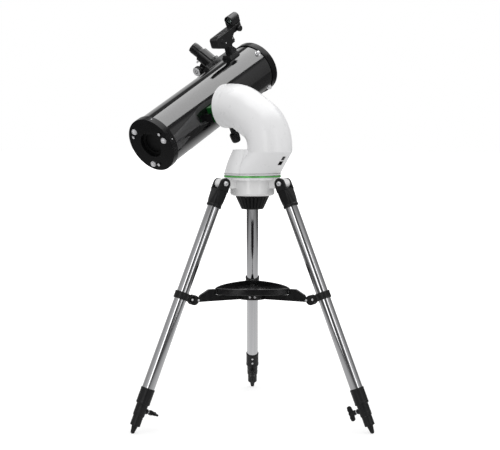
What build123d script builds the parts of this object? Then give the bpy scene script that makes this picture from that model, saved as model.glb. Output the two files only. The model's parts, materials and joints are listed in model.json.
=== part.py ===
from build123d import *
from math import atan2, cos, degrees, hypot, pi, radians, sin
import os

os.makedirs("parts", exist_ok=True)

# Newtonian reflector telescope on a motorised single-arm altazimuth mount and a steel tripod.
# Millimetres, +Z up. The mount is modelled about its azimuth axis: +X is the way the optical
# tube points in plan, +Y runs from the mount's arm to the tube. Legs are modelled hanging from
# their hinge, and the tube with its axis along X; PLACES below puts each in the assembly.

RUN = 0.05          # radial clearance of a shaft that turns or slides in a bore
GAP = 0.4           # clearance between faces that pass each other
UP = (Align.CENTER, Align.CENTER, Align.MIN)

# ---------------------------------------------------------------- driving dimensions
# tripod
LEG_COUNT = 3
FIRST_LEG = 40.0            # azimuth of the first leg
FOOT_R = 346.6              # foot tip from the azimuth axis
HINGE_R = 90.3              # leg hinge from the azimuth axis
HINGE_Z = 617.6             # leg hinge above the floor
LEG_TUBE_R = 15.9           # 1.25 inch steel tube
LEG_TUBE_WALL = 1.3
SLIDER_R = 12.7             # 1 inch steel tube inside it
SLIDER_WALL = 1.2
SLIDER_LENGTH = 500.0
LUG_WIDTH = 28.0            # head lug between the leg's cheeks
LUG_R = 13.0
CHEEK_T = 7.6
CHEEK_R = 14.0
HINGE_BOLT_R = 4.0
LEG_TOP_LENGTH = 64.0       # hinge to the lower rim of the leg casting
LEG_SOCKET_R = 19.5
LEG_SOCKET_DEPTH = 28.0

# spreader
KNUCKLE_R = 163.0           # pivot of the spreader arm on the leg collar
KNUCKLE_Z = 322.2
EAR_SETBACK = 11.0          # round ear centre from that pivot, towards the leg
EAR_DROP = 3.6
EAR_R = 13.0
EAR_T = 4.4
COLLAR_R = 19.0
COLLAR_HEIGHT = 19.0
ARM_T = 8.0
ARM_END_R = 5.5
ARM_PIN_R = 2.5
HUB_PIVOT_R = 26.0
HUB_PIVOT_Z = 320.0
HUB_R = 38.0
HUB_CORE_R = 6.5
ARM_CREST_Z = 347.0         # top of the arm outside the tray
ARM_CREST_OUT = 129.5
ARM_CREST_IN = 112.0
TRAY_Z = 332.0              # underside of the tray
TRAY_HEIGHT = 16.0
TRAY_WALL = 2.4
TRAY_SIDE = 78.0            # middle of a tray side from the axis
TRAY_CORNER = 112.0         # tray corner from the axis before it is rounded
TRAY_ROUND = 12.0
NOTCH_R = 105.5             # corner notches let the arms pass when the legs fold

# feet
FOOT_HEAD_R = 13.0
FOOT_HEAD_LENGTH = 25.0
FOOT_TIP_LENGTH = 21.0
FOOT_TIP_R = 7.8
FOOT_END_R = 5.4
FOOT_FLAT = 0.5             # how much of the rounded tip the floor flat takes off
CLAMP_R = 18.0
CLAMP_LENGTH = 40.0
SLEEVE_R = 14.75
SLEEVE_LENGTH = 32.0
WING_FROM_TIP = 62.0
WING_SCREW_R = 3.0
WING_STANDOFF = 4.5         # bare screw between the boss and the wing
WING_HUB_R = 6.5
WING_HUB_LENGTH = 9.0
WING_SPAN = 40.0
WING_DEPTH = 15.0
WING_T = 5.0
WING_TURNS = (0.0, 90.0, 0.0)   # how far each leg's wing is turned from lying along the leg

# tripod head and azimuth base
HEAD_R = 57.5
HEAD_RISE = 13.9            # head top above the leg hinges
HEAD_HEIGHT = 47.0
HEAD_TOP = HINGE_Z + HEAD_RISE
HEAD_BOTTOM = HEAD_TOP - HEAD_HEIGHT
HEAD_POCKET_R = 30.0
HEAD_POCKET_DEPTH = 22.0
HEAD_RIM_R = 72.0
HEAD_RIM_H = 5.5
HEAD_BORE_R = 5.2
KNOB_TOP_R = 43.5
KNOB_BOTTOM_R = 28.6
KNOB_HEIGHT = 35.0
KNOB_FLUTES = 24
CLAMP_BOLT_R = 4.76         # 3/8 inch tripod bolt
BASE_R = 73.4
BASE_TOP = HEAD_TOP + 6.1
RING_R = 74.4
RING_Z = HEAD_TOP + 1.5
RING_H = 3.8
SPINDLE_R = 12.0
GEAR_R = 22.0
GEAR_TEETH = 44
GEAR_H = 6.0

# turning mount
TURRET_Z = BASE_TOP + 0.8
TURRET_R = 74.0
TURRET_HEIGHT = 64.6
TURRET_TOP = TURRET_Z + TURRET_HEIGHT
TURRET_TOP_R = 51.0
ARM_R = 57.5                # round arm and altitude head
SHELL = 3.0
ALT_Z = TURRET_Z + 178.6    # altitude axis
HEAD_FACE_Y = 90.0          # face of the altitude head, towards the tube
ARM_BACK_Y = -58.0          # arm centre line where it stands upright
ARM_SHOULDER_Y = 41.0       # corners of the arm's centre line before bending
ARM_ELBOW_DROP = 60.0
ARM_ELBOW_Z = ALT_Z - ARM_ELBOW_DROP
ARM_BEND = 80.0
ARM_FOOT_Z = TURRET_TOP - 5.0
ARM_FLAT = 54.6             # flat inner face from the arm's centre line
COVER_Y = -17.0             # seam between arm housing and front cover
FLOOR_T = 4.0
AXLE_R = 15.0

# optical tube, about the altitude axis
ALTITUDE = 27.5             # tube above the horizon
TUBE_Y = 191.7              # tube axis from the azimuth axis
TUBE_DROP = 8.0             # tube axis below the altitude axis, square to the tube
TUBE_R = 71.3
TUBE_WALL = 1.2
TUBE_REAR = -206.1          # end faces of the whole tube along its axis
TUBE_FRONT = 270.6
END_RING_R = TUBE_R + 2.7
REAR_RING = 19.6
FRONT_RING = 21.7
CELL_PLATE = 3.0
CELL_HOLE_R = 34.0
MIRROR_R = TUBE_R - 14.3    # 114 mm primary
MIRROR_T = 15.0
HOLDER_T = 6.0
HOLDER_GAP = 7.0
COLLIMATION_PCR = END_RING_R - 18.0
COLLIMATION_ANGLE = 45.0
COLLIMATION_R = 8.0
LOCK_ANGLE = 20.0
SPIDER_X = 239.0
SPIDER_ANGLE = -44.0
VANES = 4
VANE_T = 1.0
VANE_W = 12.0
SECONDARY_R = 17.0
NUT_R = 4.6

# saddle and dovetail
SADDLE_GAP = 0.6
SADDLE_T = 9.4
SADDLE_LENGTH = 104.0
SADDLE_LOW = -31.5
SADDLE_HIGH = 20.0
BAR_HALF = 14.0
BAR_SLOPE = 3.0
BAR_DEPTH = 11.0
BAR_LENGTH = 110.0
JAW_LENGTH = 40.0
JAW_TRAVEL = 3.0
SCREW_Y = 95.5              # clamp screw, inside the saddle plate
SCREW_R = 3.0
CLAMP_KNOB_R = 13.2
CLAMP_KNOB_LENGTH = 26.0
CLAMP_KNOB_DROP = 80.0      # altitude axis to the top of the clamp knob
CLAMP_NECK_R = 7.5
CLAMP_SPACER_R = 5.0         # runs across the face of the altitude head

# focuser
FOCUS_X = 168.0
FOCUS_ANGLE = 45.0
FLANGE_LENGTH = 104.0
FLANGE_WIDTH = 54.0
FLANGE_TOP = 79.0
HOUSING_R = 25.0
HOUSING_TOP = 87.0
DRAW_R = 20.5
DRAW_BOTTOM = 62.0
DRAW_TOP = 126.0
EYEPIECE_BORE_R = 15.95
BARREL_R = 15.875
BARREL_LENGTH = 26.0
EYEPIECE_R = 16.2
EYEPIECE_TOP = 159.5
PINION_PITCH_R = 5.5
PINION_TEETH = 12
PINION_TIP = 0.7
TOOTH_W = 0.9
PINION_LEVEL = 101.0
SHAFT_R = 2.5
FOCUS_KNOB_R = 13.5
FOCUS_KNOB_T = 14.0
FOCUS_KNOB_IN = 27.0

# red dot finder
FINDER_ANGLE = -4.0
SHOE_X = 180.0
SHOE_LENGTH = 41.0
SHOE_WIDTH = 34.0
SHOE_TOP = 82.0
STALK_TOP = 106.0
CRADLE_TOP = 113.0
FINDER_BACK = 127.0
FINDER_FRONT = 240.0
FINDER_W = 26.0
FINDER_DECK = 146.0
FINDER_CHIN = 132.0         # underside of the finder ahead of its bracket
HOOD_BACK = 207.0
HOOD_LENGTH = 35.0
HOOD_LEVEL = 165.0
HOOD_R = 15.0
WINDOW_R = 11.8
FINDER_KNOB_R = 8.4

# where the row's origin lies in plan, from the azimuth axis
ORIGIN_X = 27.0
ORIGIN_Y = 15.5

# ---------------------------------------------------------------- places
LEG_LENGTH = hypot(FOOT_R - HINGE_R, HINGE_Z)
LEG_SLOPE = degrees(atan2(FOOT_R - HINGE_R, HINGE_Z))
SHIFT = Location((ORIGIN_X, ORIGIN_Y, 0))
LEG_PLACES = [
    SHIFT * Location((0, 0, 0), (0, 0, FIRST_LEG + k * 360.0 / LEG_COUNT))
    for k in range(LEG_COUNT)
]
HANG = Location((HINGE_R, 0, HINGE_Z), (0, -LEG_SLOPE, 0))
TILT = SHIFT * Location((0, 0, ALT_Z), (0, -ALTITUDE, 0))


def write(builder, name, place):
    """Label a finished sub-part, put it in the assembly and write it."""
    piece = builder.part.moved(place)
    piece.label = name
    export_step(piece, f"parts/{name}.step")


def leg_point(r, z):
    """A point of the leg's upright plane, in the hanging leg's own x and z."""
    dx, dz = r - HINGE_R, z - HINGE_Z
    c, s = cos(radians(LEG_SLOPE)), sin(radians(LEG_SLOPE))
    return dx * c + dz * s, dz * c - dx * s


def tube_plane(x):
    """Plane square to the optical axis; its x is +Y and its y is up."""
    return Plane(origin=(x, TUBE_Y, -TUBE_DROP), x_dir=(0, 1, 0), z_dir=(1, 0, 0))


def outward_plane(x, angle, level=0.0):
    """Plane square to the tube's radius at an angle from its top, level above the axis."""
    out = (0, sin(radians(angle)), cos(radians(angle)))
    return Plane(
        origin=(x, TUBE_Y + level * out[1], -TUBE_DROP + level * out[2]),
        x_dir=(1, 0, 0),
        z_dir=out,
    )


# ---------------------------------------------------------------- tripod legs
CHEEK_IN = LUG_WIDTH / 2 + GAP
CHEEK_OUT = CHEEK_IN + CHEEK_T
BLOCK_TOP = -(LUG_R + 4.0)
TAPER_TOP = BLOCK_TOP - 3.0
SOCKET_TOP = -(LEG_TOP_LENGTH - LEG_SOCKET_DEPTH)

with BuildPart() as leg_top:
    for side in (-1, 1):
        with BuildSketch(Plane.XZ.offset(side * CHEEK_IN)):
            Circle(CHEEK_R)
            with Locations((0, TAPER_TOP / 2)):
                Rectangle(2 * CHEEK_R, -TAPER_TOP)
        extrude(amount=side * CHEEK_T)
    fillet(leg_top.edges().filter_by(GeomType.CIRCLE), 1.6)
    with BuildSketch(Plane.XZ.offset(-CHEEK_IN)):
        with Locations((0, (BLOCK_TOP + TAPER_TOP) / 2)):
            Rectangle(2 * CHEEK_R, BLOCK_TOP - TAPER_TOP)
    extrude(amount=2 * CHEEK_IN)
    with BuildSketch(Plane.XY.offset(TAPER_TOP)):
        RectangleRounded(2 * CHEEK_R, 2 * CHEEK_OUT, 3.0)
    with BuildSketch(Plane.XY.offset(-LEG_TOP_LENGTH)):
        Circle(LEG_SOCKET_R)
    loft()
    with Locations((0, 0, -LEG_TOP_LENGTH)):
        Cylinder(LEG_TUBE_R + RUN, LEG_SOCKET_DEPTH, align=UP, mode=Mode.SUBTRACT)
    with BuildSketch(Plane.XZ.offset(-CHEEK_OUT)):
        Circle(HINGE_BOLT_R + RUN)
    extrude(amount=2 * CHEEK_OUT, mode=Mode.SUBTRACT)

CLAMP_BOTTOM = -(LEG_LENGTH - FOOT_TIP_LENGTH - FOOT_HEAD_LENGTH) + GAP
CLAMP_SHOULDER = CLAMP_BOTTOM + SLEEVE_LENGTH
TUBE_SEAT = 2.0

with BuildPart() as leg_tube:
    with BuildSketch(Plane.XY.offset(CLAMP_SHOULDER + TUBE_SEAT)):
        Circle(LEG_TUBE_R)
        Circle(LEG_TUBE_R - LEG_TUBE_WALL, mode=Mode.SUBTRACT)
    extrude(amount=SOCKET_TOP - GAP - CLAMP_SHOULDER - TUBE_SEAT)

WING_Z = -(LEG_LENGTH - WING_FROM_TIP)
BOSS_X = -(SLEEVE_R + 5.5)
BOSS_R = 7.0

with BuildPart() as foot_clamp:
    with Locations((0, 0, CLAMP_SHOULDER)):
        Cylinder(CLAMP_R, CLAMP_LENGTH, align=UP)
    fillet(foot_clamp.edges(), 1.2)
    with Locations((0, 0, CLAMP_BOTTOM)):
        Cylinder(SLEEVE_R, SLEEVE_LENGTH + TUBE_SEAT, align=UP)
    with BuildSketch(Plane.YZ.offset(BOSS_X)):
        with Locations((0, WING_Z)):
            Circle(BOSS_R)
    extrude(amount=-BOSS_X)
    with Locations((0, 0, CLAMP_SHOULDER + TUBE_SEAT)):
        Cylinder(LEG_TUBE_R + RUN, CLAMP_LENGTH, align=UP, mode=Mode.SUBTRACT)
    with Locations((0, 0, CLAMP_BOTTOM)):
        Cylinder(SLIDER_R + RUN, SLEEVE_LENGTH + 2 * TUBE_SEAT, align=UP, mode=Mode.SUBTRACT)
    with BuildSketch(Plane.YZ.offset(BOSS_X)):
        with Locations((0, WING_Z)):
            Circle(WING_SCREW_R + RUN)
    extrude(amount=-BOSS_X, mode=Mode.SUBTRACT)

FOOT_TOP = -(LEG_LENGTH - FOOT_TIP_LENGTH - FOOT_HEAD_LENGTH)

with BuildPart() as slider_tube:
    with BuildSketch(Plane.XY.offset(FOOT_TOP)):
        Circle(SLIDER_R)
        Circle(SLIDER_R - SLIDER_WALL, mode=Mode.SUBTRACT)
    extrude(amount=SLIDER_LENGTH)

SPIGOT_LENGTH = 20.0
FLOOR_X, FLOOR_Z = leg_point(FOOT_R, 0.0)

with BuildPart() as foot:
    with BuildSketch(Plane.XZ):
        with BuildLine():
            Polyline(
                (0, FOOT_TOP + SPIGOT_LENGTH),
                (SLIDER_R - SLIDER_WALL - RUN, FOOT_TOP + SPIGOT_LENGTH),
                (SLIDER_R - SLIDER_WALL - RUN, FOOT_TOP),
                (FOOT_HEAD_R, FOOT_TOP),
                (FOOT_HEAD_R, FOOT_TOP - FOOT_HEAD_LENGTH),
                (FOOT_TIP_R, FOOT_TOP - FOOT_HEAD_LENGTH - 1.5),
                (FOOT_END_R, FLOOR_Z + FOOT_END_R - FOOT_FLAT),
            )
            RadiusArc(
                (FOOT_END_R, FLOOR_Z + FOOT_END_R - FOOT_FLAT),
                (0, FLOOR_Z - FOOT_FLAT),
                FOOT_END_R,
            )
            Line((0, FLOOR_Z - FOOT_FLAT), (0, FOOT_TOP + SPIGOT_LENGTH))
        make_face()
    revolve(axis=Axis.Z)
    floor = Plane(
        origin=(FLOOR_X, 0, FLOOR_Z),
        z_dir=(sin(radians(LEG_SLOPE)), 0, cos(radians(LEG_SLOPE))),
    )
    split(bisect_by=floor, keep=Keep.TOP)

HUB_X = BOSS_X - WING_STANDOFF
WING_X = HUB_X - WING_HUB_LENGTH + 2.0

# drawn about the screw, which is the x axis here
with BuildPart() as wing_bolt:
    with BuildSketch(Plane.YZ.offset(HUB_X)):
        Circle(WING_HUB_R)
    extrude(amount=-WING_HUB_LENGTH)
    with BuildSketch(Plane.YZ.offset(WING_X)):
        RectangleRounded(WING_T, WING_SPAN, WING_T / 2 - 0.1)
    extrude(amount=-WING_DEPTH)
    fillet(wing_bolt.edges().group_by(Axis.X)[0].filter_by(GeomType.LINE), 1.0)
    with BuildSketch(Plane.YZ.offset(HUB_X)):
        Circle(WING_SCREW_R)
    extrude(amount=-HUB_X - SLIDER_R - GAP)

# collar with the ear that carries the spreader arm
KNUCKLE_X, KNUCKLE_Y = leg_point(KNUCKLE_R, KNUCKLE_Z)
EAR_X, EAR_Z = KNUCKLE_X + EAR_SETBACK, KNUCKLE_Y - EAR_DROP
EAR_IN = ARM_T / 2 + GAP
WEB_X = KNUCKLE_X + 14.5

with BuildPart() as leg_collar:
    with Locations((0, 0, EAR_Z - COLLAR_HEIGHT / 2)):
        Cylinder(COLLAR_R, COLLAR_HEIGHT, align=UP)
    fillet(leg_collar.edges(), 1.0)
    for side in (-1, 1):
        with BuildSketch(Plane.XZ.offset(side * EAR_IN)):
            with Locations((EAR_X, EAR_Z)):
                Circle(EAR_R)
            with Locations((EAR_X / 2, EAR_Z)):
                Rectangle(-EAR_X, COLLAR_HEIGHT - 3.0)
        extrude(amount=side * EAR_T)
    with BuildSketch(Plane.XZ.offset(-EAR_IN)):
        with Locations((WEB_X / 2, EAR_Z)):
            Rectangle(-WEB_X, COLLAR_HEIGHT - 3.0)
    extrude(amount=2 * EAR_IN)
    with Locations((0, 0, EAR_Z - COLLAR_HEIGHT)):
        Cylinder(LEG_TUBE_R + RUN, 2 * COLLAR_HEIGHT, align=UP, mode=Mode.SUBTRACT)
    with BuildSketch(Plane.XZ.offset(-EAR_IN - EAR_T - 2.0)):
        with Locations((KNUCKLE_X, KNUCKLE_Y)):
            Circle(ARM_PIN_R)
    extrude(amount=2 * (EAR_IN + EAR_T + 2.0))

with BuildPart() as spreader_arm:
    with BuildSketch(Plane.XZ.offset(-ARM_T / 2)):
        with BuildLine():
            Polyline(
                (KNUCKLE_R, KNUCKLE_Z - ARM_END_R),
                (KNUCKLE_R - 5.0, KNUCKLE_Z + ARM_END_R + 0.5),
                (KNUCKLE_R - 9.0, KNUCKLE_Z + 12.0),
                (ARM_CREST_OUT, ARM_CREST_Z),
                (ARM_CREST_IN, ARM_CREST_Z),
                (ARM_CREST_IN, ARM_CREST_Z - 12.0),
                (ARM_CREST_IN - 6.0, TRAY_Z - 1.5),
                (HUB_R + 6.0, TRAY_Z - 4.0),
                (HUB_PIVOT_R, HUB_PIVOT_Z + ARM_END_R),
                (HUB_PIVOT_R, HUB_PIVOT_Z - ARM_END_R),
                (KNUCKLE_R, KNUCKLE_Z - ARM_END_R),
            )
        make_face()
        with Locations((KNUCKLE_R, KNUCKLE_Z), (HUB_PIVOT_R, HUB_PIVOT_Z)):
            Circle(ARM_END_R)
        with Locations((KNUCKLE_R, KNUCKLE_Z), (HUB_PIVOT_R, HUB_PIVOT_Z)):
            Circle(ARM_PIN_R + RUN, mode=Mode.SUBTRACT)
    extrude(amount=ARM_T)

for k, place in enumerate(LEG_PLACES, start=1):
    hanging = place * HANG
    write(leg_top, f"leg_top_{k}", hanging)
    write(leg_tube, f"leg_tube_{k}", hanging)
    write(foot_clamp, f"foot_clamp_{k}", hanging)
    write(slider_tube, f"slider_tube_{k}", hanging)
    write(foot, f"foot_{k}", hanging)
    screw = Location((0, 0, WING_Z), (WING_TURNS[k - 1], 0, 0))
    write(wing_bolt, f"wing_bolt_{k}", hanging * screw)
    write(leg_collar, f"leg_collar_{k}", hanging)
    write(spreader_arm, f"spreader_arm_{k}", place)

# ---------------------------------------------------------------- spreader hub and tray
def leg_angle(k):
    return FIRST_LEG + k * 360.0 / LEG_COUNT


with BuildPart() as spreader_hub:
    with Locations((0, 0, HUB_PIVOT_Z - 9.0)):
        Cylinder(HUB_R, TRAY_Z - HUB_PIVOT_Z + 9.0, align=UP)
    fillet(spreader_hub.edges().group_by(Axis.Z)[0], 2.0)
    with BuildSketch(Plane.XY.offset(HUB_PIVOT_Z - 9.0)):
        for k in range(LEG_COUNT):
            with PolarLocations(HUB_CORE_R + HUB_R, 1, start_angle=leg_angle(k)):
                Rectangle(2 * HUB_R, ARM_T + 2 * GAP)
    extrude(amount=TRAY_Z - HUB_PIVOT_Z + 9.0, mode=Mode.SUBTRACT)

# each side is an arc about a point towards the opposite corner
SIDE_SHIFT = (TRAY_CORNER**2 - TRAY_SIDE**2) / (2 * TRAY_SIDE - TRAY_CORNER)
TRAY_FLOOR = 2.5

with BuildPart() as tray:
    with BuildSketch(Plane.XY.offset(TRAY_Z)) as tray_outline:
        Circle(TRAY_SIDE + 2 * SIDE_SHIFT)
        for k in range(LEG_COUNT):
            with PolarLocations(SIDE_SHIFT, 1, start_angle=leg_angle(k)):
                Circle(TRAY_SIDE + SIDE_SHIFT, mode=Mode.INTERSECT)
        fillet(tray_outline.vertices(), TRAY_ROUND)
    extrude(amount=TRAY_HEIGHT)
    fillet(tray.edges().group_by(Axis.Z)[0], 1.5)
    with BuildSketch(Plane.XY.offset(TRAY_Z + TRAY_FLOOR)):
        add(tray_outline.sketch.faces()[0].moved(Location((0, 0, TRAY_FLOOR))))
        offset(amount=-TRAY_WALL)
    extrude(amount=TRAY_HEIGHT, mode=Mode.SUBTRACT)
    with BuildSketch(Plane.XY.offset(TRAY_Z)):
        for k in range(LEG_COUNT):
            with PolarLocations(NOTCH_R + TRAY_ROUND, 1, start_angle=leg_angle(k)):
                Rectangle(2 * TRAY_ROUND, ARM_T + 2 * GAP)
    extrude(amount=TRAY_HEIGHT, mode=Mode.SUBTRACT)

write(spreader_hub, "spreader_hub", SHIFT)
write(tray, "tray", SHIFT)


# ---------------------------------------------------------------- tripod head and azimuth base
def radial_plane(k, side=0.0):
    """Upright plane through the axis and leg k, moved sideways; its x is outward."""
    angle = radians(leg_angle(k))
    out, across = (cos(angle), sin(angle)), (sin(angle), -cos(angle))
    return Plane(
        origin=(side * across[0], side * across[1], 0),
        x_dir=(out[0], out[1], 0),
        z_dir=(across[0], across[1], 0),
    )


HEAD_POCKET_TOP = HEAD_BOTTOM + HEAD_POCKET_DEPTH

with BuildPart() as tripod_head:
    with BuildSketch(Plane.XZ):
        with BuildLine():
            Polyline(
                (HEAD_BORE_R, HEAD_TOP),
                (HEAD_RIM_R, HEAD_TOP),
                (HEAD_RIM_R, HEAD_TOP - HEAD_RIM_H),
                (HEAD_R, HEAD_TOP - HEAD_RIM_H),
                (HEAD_R, HEAD_BOTTOM),
                (HEAD_POCKET_R, HEAD_BOTTOM),
                (HEAD_POCKET_R, HEAD_POCKET_TOP),
                (HEAD_BORE_R, HEAD_POCKET_TOP),
                close=True,
            )
        make_face()
    revolve(axis=Axis.Z)
    outer_rim = tripod_head.edges().filter_by(GeomType.CIRCLE).group_by(Axis.Z)[0]
    fillet(outer_rim.sort_by(SortBy.RADIUS)[-1], 7.0)
    for k in range(LEG_COUNT):
        with BuildSketch(radial_plane(k, -LUG_WIDTH / 2)):
            with Locations((HINGE_R, HINGE_Z)):
                Circle(LUG_R)
            with Locations(((HINGE_R + HEAD_R - 8.0) / 2, HINGE_Z)):
                Rectangle(HINGE_R - HEAD_R + 8.0, 2 * LUG_R)
        extrude(amount=LUG_WIDTH)
        with BuildSketch(radial_plane(k, -LUG_WIDTH / 2)):
            with Locations((HINGE_R, HINGE_Z)):
                Circle(HINGE_BOLT_R + RUN)
        extrude(amount=LUG_WIDTH, mode=Mode.SUBTRACT)

BOLT_HEAD_R = 6.2
BOLT_HEAD_T = 4.0
BOLT_OUT = CHEEK_OUT + GAP

with BuildPart() as hinge_bolts:
    for k in range(LEG_COUNT):
        with BuildSketch(radial_plane(k, -BOLT_OUT)):
            with Locations((HINGE_R, HINGE_Z)):
                Circle(HINGE_BOLT_R)
        extrude(amount=2 * BOLT_OUT)
        for side in (-1, 1):
            with BuildSketch(radial_plane(k, side * BOLT_OUT)):
                with Locations((HINGE_R, HINGE_Z)):
                    Circle(BOLT_HEAD_R)
            extrude(amount=side * BOLT_HEAD_T)

KNOB_TOP = HEAD_BOTTOM - GAP
KNOB_Z = KNOB_TOP - KNOB_HEIGHT
FLUTE_R = 2.4

with BuildPart() as knob_flute:
    with BuildSketch(Plane.XY.offset(KNOB_Z)):
        with Locations((KNOB_BOTTOM_R + FLUTE_R / 2, 0)):
            Circle(FLUTE_R)
    with BuildSketch(Plane.XY.offset(KNOB_TOP)):
        with Locations((KNOB_TOP_R + FLUTE_R / 2, 0)):
            Circle(FLUTE_R)
    loft()

with BuildPart() as clamp_knob:
    with BuildSketch(Plane.XZ):
        with BuildLine():
            Polyline(
                (0, KNOB_Z),
                (KNOB_BOTTOM_R, KNOB_Z),
                (KNOB_TOP_R, KNOB_TOP - 3.0),
                (KNOB_TOP_R, KNOB_TOP),
                (0, KNOB_TOP),
                close=True,
            )
        make_face()
    revolve(axis=Axis.Z)
    with PolarLocations(0, KNOB_FLUTES):
        add(knob_flute.part, mode=Mode.SUBTRACT)
    with Locations((0, 0, KNOB_TOP)):
        Cylinder(CLAMP_BOLT_R, BASE_TOP - KNOB_TOP - GAP, align=UP)

RING_SEAT_R = BASE_R - 3.0

with BuildPart() as mount_base:
    with BuildSketch(Plane.XZ):
        with BuildLine():
            Polyline(
                (CLAMP_BOLT_R + RUN, HEAD_TOP),
                (BASE_R, HEAD_TOP),
                (BASE_R, RING_Z),
                (RING_SEAT_R, RING_Z),
                (RING_SEAT_R, BASE_TOP),
                (CLAMP_BOLT_R + RUN, BASE_TOP),
                close=True,
            )
        make_face()
    revolve(axis=Axis.Z)

with BuildPart() as green_ring:
    with BuildSketch(Plane.XY.offset(RING_Z)):
        Circle(RING_R)
        Circle(RING_SEAT_R + RUN, mode=Mode.SUBTRACT)
    extrude(amount=RING_H)

PLATE_Z = BASE_TOP + GAP
GEAR_Z = PLATE_Z + FLOOR_T + GAP
TOOTH_DEPTH = 1.6

with BuildPart() as azimuth_gear:
    with Locations((0, 0, BASE_TOP)):
        Cylinder(SPINDLE_R, GEAR_Z + GEAR_H - BASE_TOP, align=UP)
    with Locations((0, 0, GEAR_Z)):
        Cylinder(GEAR_R, GEAR_H, align=UP)
    with BuildSketch(Plane.XY.offset(GEAR_Z)):
        with PolarLocations(GEAR_R, GEAR_TEETH):
            Rectangle(2 * TOOTH_DEPTH, pi * GEAR_R / GEAR_TEETH)
    extrude(amount=GEAR_H, mode=Mode.SUBTRACT)

write(tripod_head, "tripod_head", SHIFT)
write(hinge_bolts, "hinge_bolts", SHIFT)
write(clamp_knob, "clamp_knob", SHIFT)
write(mount_base, "mount_base", SHIFT)
write(green_ring, "green_ring", SHIFT)
write(azimuth_gear, "azimuth_gear", SHIFT)


# ---------------------------------------------------------------- turning mount
ARM_PATH_Y = HEAD_FACE_Y - 20.0     # the bent arm starts inside the altitude head
HEAD_DEPTH = 24.0
HEAD_STEP = 0.5                     # the head stands this much proud of the arm
LOFT_TOE = 4.0


def housing_form(inset):
    """Turret, bent arm and altitude head as one solid, drawn inset from the outer face."""
    with BuildPart() as form:
        with BuildSketch(Plane.XZ):
            with BuildLine():
                Line((0, TURRET_Z - inset), (TURRET_R - inset, TURRET_Z - inset))
                ThreePointArc(
                    (TURRET_R - inset, TURRET_Z - inset),
                    (TURRET_R - 8.0 - inset, TURRET_Z + 29.0),
                    (TURRET_TOP_R - inset, TURRET_TOP - inset),
                )
                Line((TURRET_TOP_R - inset, TURRET_TOP - inset), (0, TURRET_TOP - inset))
                Line((0, TURRET_TOP - inset), (0, TURRET_Z - inset))
            make_face()
        revolve(axis=Axis.Z)
        with BuildSketch(Plane.XY.offset(ARM_FOOT_Z)):
            with Locations((0, ARM_BACK_Y)):
                Circle(ARM_R - inset)
        with BuildSketch(Plane.XY.offset(TURRET_Z + LOFT_TOE)):
            Circle(TURRET_R - 1.2 - inset)
        loft()
        with BuildLine() as spine:
            FilletPolyline(
                (0, ARM_PATH_Y, ALT_Z),
                (0, ARM_SHOULDER_Y, ALT_Z),
                (0, ARM_BACK_Y, ARM_ELBOW_Z),
                (0, ARM_BACK_Y, ARM_FOOT_Z),
                radius=ARM_BEND,
            )
        section = Plane(origin=(0, ARM_PATH_Y, ALT_Z), x_dir=(1, 0, 0), z_dir=(0, -1, 0))
        with BuildSketch(section):
            Circle(ARM_R - inset)
            with Locations((0, -ARM_FLAT + inset - ARM_R)):
                Rectangle(2 * ARM_R, 2 * ARM_R, mode=Mode.SUBTRACT)
        sweep(path=spine.wires()[0])
        with BuildSketch(Plane.XZ.offset(-HEAD_FACE_Y + inset)):
            with Locations((0, ALT_Z)):
                Circle(ARM_R + HEAD_STEP - inset)
        extrude(amount=HEAD_DEPTH - inset)
    return form


BOSS_WALL = 6.0
BOSS_DEPTH = 14.0
PORT_SLOPE = degrees(atan2(ARM_R - ARM_BACK_Y - TURRET_R, ARM_FOOT_Z - TURRET_Z))
PORT_Z = TURRET_Z + 37.6
PORT_Y = -98.0
SOCKET_W = 16.0
SOCKET_H = 13.0
SWITCH_W = 13.0
SWITCH_H = 12.5
PORT_PITCH = 15.5

with BuildPart() as housing:
    add(housing_form(0.0).part)
    add(housing_form(SHELL).part, mode=Mode.SUBTRACT)
    with BuildSketch(Plane.XZ.offset(-HEAD_FACE_Y + SHELL)):
        with Locations((0, ALT_Z)):
            Circle(AXLE_R + BOSS_WALL)
    extrude(amount=BOSS_DEPTH)
    with BuildSketch(Plane.XZ.offset(-HEAD_FACE_Y)):
        with Locations((0, ALT_Z)):
            Circle(AXLE_R + RUN)
    extrude(amount=BOSS_DEPTH + SHELL, mode=Mode.SUBTRACT)

# the port panel leans with the back of the housing
port_plane = Plane(
    origin=(0, PORT_Y, PORT_Z),
    x_dir=(-1, 0, 0),
    z_dir=(0, -cos(radians(PORT_SLOPE)), -sin(radians(PORT_SLOPE))),
)
SEAM = 0.3

with BuildPart() as arm_housing:
    add(housing.part)
    with BuildSketch(Plane.XY.offset(TURRET_Z - SHELL)):
        with Locations((0, COVER_Y + TURRET_R)):
            Rectangle(4 * TURRET_R, 2 * TURRET_R)
    extrude(amount=TURRET_TOP - TURRET_Z + SHELL, mode=Mode.SUBTRACT)
    with BuildSketch(port_plane.offset(-12.0)):
        with Locations((0, PORT_PITCH / 2)):
            Rectangle(SOCKET_W + 2 * RUN, SOCKET_H + 2 * RUN)
        with Locations((0, -PORT_PITCH / 2)):
            Rectangle(SWITCH_W + 2 * RUN, SWITCH_H + 2 * RUN)
    extrude(amount=30.0, mode=Mode.SUBTRACT)

with BuildPart() as front_cover:
    add(housing.part)
    with BuildSketch(Plane.XY.offset(TURRET_Z)):
        with Locations((0, COVER_Y + SEAM + TURRET_R)):
            Rectangle(4 * TURRET_R, 2 * TURRET_R)
    extrude(amount=TURRET_TOP - TURRET_Z, mode=Mode.INTERSECT)

inner_form = housing_form(SHELL + RUN)

with BuildPart() as azimuth_plate:
    add(inner_form.part)
    with BuildSketch(Plane.XY.offset(PLATE_Z)):
        Circle(TURRET_R)
        Circle(SPINDLE_R + RUN, mode=Mode.SUBTRACT)
    extrude(amount=FLOOR_T, mode=Mode.INTERSECT)

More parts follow.
